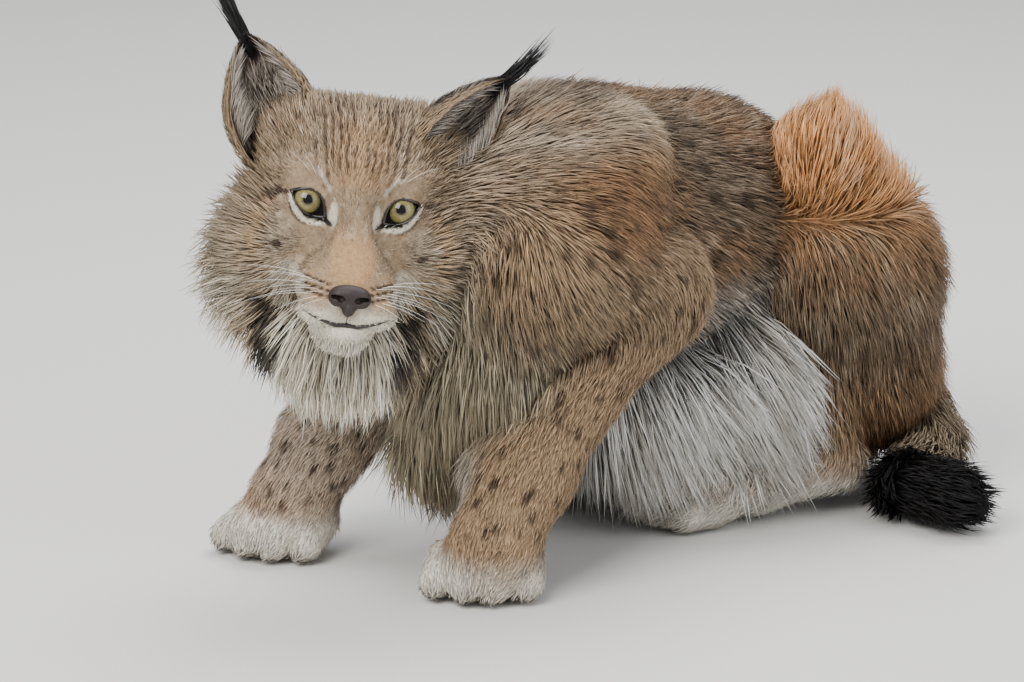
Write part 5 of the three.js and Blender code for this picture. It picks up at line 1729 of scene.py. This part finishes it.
# The photo's viewpoint, what it looks at, and its focal length and width in pixels.
CAMERA = arr(0, -3811, 1233)
AIM = arr(0, 53, 198)
FOCAL_PX, PHOTO_PX, SENSOR = 5200, 1024, 36
EYE_ROWS, EYE_STEPS, IRIS_EDGE, LID_POINTS = 48, 64, 1.0, 96


class LYNX_OT_eyes(bpy.types.Operator):
    """Eyes: round pupil, streaked iris and a wet bulge over it, between dark lids"""
    bl_idname = "lynx.eyes"
    bl_label = "Eyes and lids"

    def execute(self, context):
        face = settings("lynx_face")
        material = eye_material()
        lid_material = plain_material("Lid skin", tuple(face.lid), 0.35, 0.3)
        for name, sign in SIGNS.items():
            centre = eye_centre(sign)
            gaze = unit(unit(head_coords(CAMERA[None])[0] - centre) + arr(0, 0.035, 0))
            side = unit(np.cross(arr(0, 1, 0), gaze))
            up = np.cross(gaze, side)
            polar = np.linspace(0, math.pi, EYE_ROWS + 1)[1:-1]
            angle = np.linspace(0, 2 * math.pi, EYE_STEPS, endpoint=False)
            rings, radial, spoke = [], [], []
            for p in polar:
                bulge = 0.75 * max(0, 1 - (p / IRIS_EDGE) ** 2)
                around = np.cos(angle)[:, None] * side + np.sin(angle)[:, None] * up
                ring = gaze * math.cos(p) + math.sin(p) * around
                rings.append(centre + ring * (EYE["r"] - 0.2 + bulge))
                radial += [p / IRIS_EDGE] * EYE_STEPS
                spoke += [(math.cos(a) * 3, math.sin(a) * 3, 0.35 * p) for a in angle]
            points, faces = loft(rings)
            points[-2] = centre + gaze * (EYE["r"] + 0.55)
            points[-1] = centre - gaze * (EYE["r"] - 0.2)
            eye = head_piece("eyeball_" + name, points, faces, material, "eye", "eye_" + name)
            put_values(eye, "radial", "FLOAT", np.clip(radial + [0, 3.4], 0, 1))
            put_values(eye, "spoke", "FLOAT_VECTOR", spoke + [(0, 0, 0), (0, 0, 1)])
            # The rim of the lids, on the eyeball in the middle and on the face at the corners.
            turn = np.linspace(0, 2 * math.pi, LID_POINTS, endpoint=False)
            x = (SLIT["half"] + 0.4) * np.cos(turn)
            top, low = lens_edge(x, 0.4)
            upper = np.sin(turn) >= 0
            local = np.stack([x, np.where(upper, top, low), np.zeros(LID_POINTS)], axis=1)
            path = slit_centre(sign) + local @ slit_axes(sign).T
            away = size_of((path - centre)[:, :2])
            ball = EYE["z"] + np.sqrt(np.clip((EYE["r"] + 1.3) ** 2 - away ** 2, 0, None))
            path[:, 2] = np.maximum(ball, on_face(path[:, 0], path[:, 1])[:, 2] - 0.4)
            for _ in range(4):
                path = (path + 0.5 * np.roll(path, 1, axis=0) + 0.5 * np.roll(path, -1, axis=0)) / 2
            thick = np.where(upper, 1.15, 0.7) + 0.3 * (np.abs(x) / SLIT["half"]) ** 6
            points, faces = tube(path, thick, 8, closed=True)
            head_piece("lids_" + name, points, faces, lid_material, "nose_leather")
        return {"FINISHED"}


LIP_POINTS = 61


class LYNX_OT_nose(bpy.types.Operator):
    """Nose leather with its nostrils, and the line of the mouth"""
    bl_idname = "lynx.nose"
    bl_label = "Nose and mouth"

    def execute(self, context):
        face = settings("lynx_face")
        form = blend(4, egg(arr(0, -45.5, 94), (14.5, 7.5, 9.5)), *pair(9, -49, 94, (7, 6.5, 9.5)),
                     egg(arr(0, -56, 93), (5, 6.5, 8.6)))
        holes = blend(2.5, *pair(6.2, -50.2, 103.5, (2.9, 2.3, 5)), *pair(11, -48.2, 101, (5, 1.5, 5)))
        slit = taper(arr(0, -50, 104.5), arr(0, -64, 102), 0.8, 0.8)
        form = carve(1.2, form, blend(1, holes, slit))
        marks = [grid_lines(-19, 19, 0.9), grid_lines(-66, -34, 0.9), grid_lines(80, 108, 0.9)]
        points, faces, _ = facets(form, marks)
        leather = plain_material("Nose leather", tuple(face.nose), 0.6, 0.04, (900, 0.35, 0.0004))
        head_piece("nose_leather", points, faces, leather, "nose_leather", "nose")
        x, y = np.array(MOUTH).T
        fine = np.linspace(0, len(x) - 1, LIP_POINTS)
        x, y = np.interp(fine, np.arange(len(x)), x), np.interp(fine, np.arange(len(y)), y)
        smooth = np.ones(7) / 7
        x, y = (np.convolve(np.pad(v, 3, mode="edge"), smooth, mode="valid") for v in (x, y))
        path = on_face(x, y) - arr(0, 0, 1.0)
        points, faces = tube(path, 0.2 + 1.5 * np.sin(np.pi * np.linspace(0, 1, LIP_POINTS)) ** 1.5, 8)
        lip = plain_material("Lip skin", tuple(face.lid), 0.45, 0.2)
        head_piece("lips", points, faces, lip, "nose_leather")
        y = np.linspace(-61, -69.5, 12)
        path = on_face(np.zeros(12), y) - arr(0, 0, 0.9)
        points, faces = tube(path, np.full(12, 1.0), 8, flat=arr(1, 0, 0))
        head_piece("lip_parting", points, faces, lip, "nose_leather")
        return {"FINISHED"}


class LYNX_OT_whiskers(bpy.types.Operator):
    """White whiskers in rows on the muzzle, and a few over the eyes"""
    bl_idname = "lynx.whiskers"
    bl_label = "Whiskers"

    def execute(self, context):
        rng = np.random.default_rng(88)
        longest = settings("lynx_face").whisker * 1000
        material = plain_material("Whisker", (0.86, 0.84, 0.8), 0.35)
        made = []
        for sign in (1, -1):
            for row in range(WHISKER_ROWS):
                for k in range(WHISKER_PLACES):
                    x, y = whisker_root(row, k)
                    root = on_face([x], [y])[0] * arr(sign, 1, 1)
                    way = arr(sign * (0.9 + 0.1 * k), 0.28 - 0.22 * row, 0.45 - 0.2 * k)
                    way = unit(way + rng.normal(0, 0.06, 3))
                    long = longest * (0.42 + 0.15 * k + 0.1 * rng.random())
                    self.add(made, root, way, long, 0.18)
            for k in range(3):
                root = on_face([sign * (27 + 5 * k)], [38 + 2 * k])[0]
                way = unit(arr(sign * (0.25 + 0.25 * k), 0.85, 0.5) + rng.normal(0, 0.08, 3))
                self.add(made, root, way, 26 + 5 * k, 0.17)
        points, faces = joined(made)
        head_piece("whiskers", points, faces, material, "face_coat")
        return {"FINISHED"}

    def add(self, made, root, way, long, radius):
        """One whisker: a thin tube that droops towards its tip."""
        t = np.linspace(0, 1, 10)
        droop = arr(0, -1, -0.35) * (0.22 * long * t ** 2)[:, None]
        path = root - way * 1.5 + way * (long * t)[:, None] + droop
        radii = radius * (1 - 0.82 * t)
        made.append(tube(path, radii, 5))


def looking(place, at):
    """The turn that points a lamp or camera at something."""
    return (Vector(at) - Vector(place)).to_track_quat("-Z", "Y").to_euler()


class LYNX_OT_stage(bpy.types.Operator):
    """Plain pale floor, soft light and the camera"""
    bl_idname = "lynx.stage"
    bl_label = "Stage"

    def execute(self, context):
        stage = settings("lynx_stage")
        points = np.array([(-8, -8, 0), (8, -8, 0), (8, 8, 0), (-8, 8, 0)], dtype=float)
        faces = [(0, 1, 2, 3)]
        floor = new_mesh("floor", points, faces, in_place=True)
        material = plain_material("Floor", tuple(stage.floor), 0.8)
        floor.data.materials.append(material)
        middle = to_world(AIM[None])[0]
        for name, place, power, size, tint in (
            ("key", (-1.3, -1.9, 2.3), stage.light, 1.8, (1.0, 0.98, 0.95)),
            ("fill", (2.1, -1.7, 1.3), stage.light * 0.35, 2.2, (0.95, 0.97, 1.0)),
            ("top", (0.3, 0.9, 2.6), stage.light * 0.75, 2.0, (0.97, 0.98, 1.0)),
        ):
            lamp = bpy.data.lights.new(name, "AREA")
            lamp.energy = power
            lamp.size = size
            lamp.color = tint
            obj = bpy.data.objects.new(name, lamp)
            obj.location = place
            obj.rotation_euler = looking(place, middle)
            context.scene.collection.objects.link(obj)
        world = bpy.data.worlds.new("Soft sky")
        world.use_nodes = True
        world.node_tree.nodes["Background"].inputs["Color"].default_value = (0.86, 0.9, 0.95, 1)
        world.node_tree.nodes["Background"].inputs["Strength"].default_value = 0.55
        context.scene.world = world
        lens = bpy.data.cameras.new("camera")
        lens.sensor_width = SENSOR
        lens.lens = SENSOR * FOCAL_PX / PHOTO_PX
        lens.clip_end = 100
        camera = bpy.data.objects.new("camera", lens)
        start = to_world(CAMERA[None])[0]
        camera.location = start
        camera.rotation_euler = looking(start, middle)
        context.scene.collection.objects.link(camera)
        context.scene.camera = camera
        return {"FINISHED"}


OPERATORS = [LYNX_OT_skin, LYNX_OT_coat, LYNX_OT_ears, LYNX_OT_eyes, LYNX_OT_nose, LYNX_OT_whiskers,
             LYNX_OT_stage]


class LYNX_PT_panel(bpy.types.Panel):
    """Lists the pieces of the lynx and their sizes and colours"""
    bl_label = "Lynx"
    bl_idname = "LYNX_PT_panel"
    bl_space_type = "VIEW_3D"
    bl_region_type = "UI"
    bl_category = "Lynx"

    def draw(self, context):
        for operator in OPERATORS:
            self.layout.operator(operator.bl_idname)
        for group, kind in GROUPS.items():
            box = self.layout.box()
            for name in kind.__annotations__:
                box.prop(getattr(context.scene, group), name)


GROUPS = {"lynx_colours": LynxCoatColours, "lynx_coat": LynxCoatSizes, "lynx_face": LynxFaceSizes,
          "lynx_stage": LynxStageSizes}


def register():
    for kind in [*GROUPS.values(), *OPERATORS, LYNX_PT_panel]:
        bpy.utils.register_class(kind)
    for group, kind in GROUPS.items():
        setattr(bpy.types.Scene, group, bpy.props.PointerProperty(type=kind))


def unregister():
    for group in GROUPS:
        delattr(bpy.types.Scene, group)
    for kind in reversed([*GROUPS.values(), *OPERATORS, LYNX_PT_panel]):
        bpy.utils.unregister_class(kind)


def main():
    register()
    bpy.ops.lynx.skin()
    bpy.ops.lynx.coat()
    bpy.ops.lynx.ears()
    bpy.ops.lynx.eyes()
    bpy.ops.lynx.nose()
    bpy.ops.lynx.whiskers()
    bpy.ops.lynx.stage()
    bpy.context.view_layer.update()


if __name__ == "__main__":
    main()
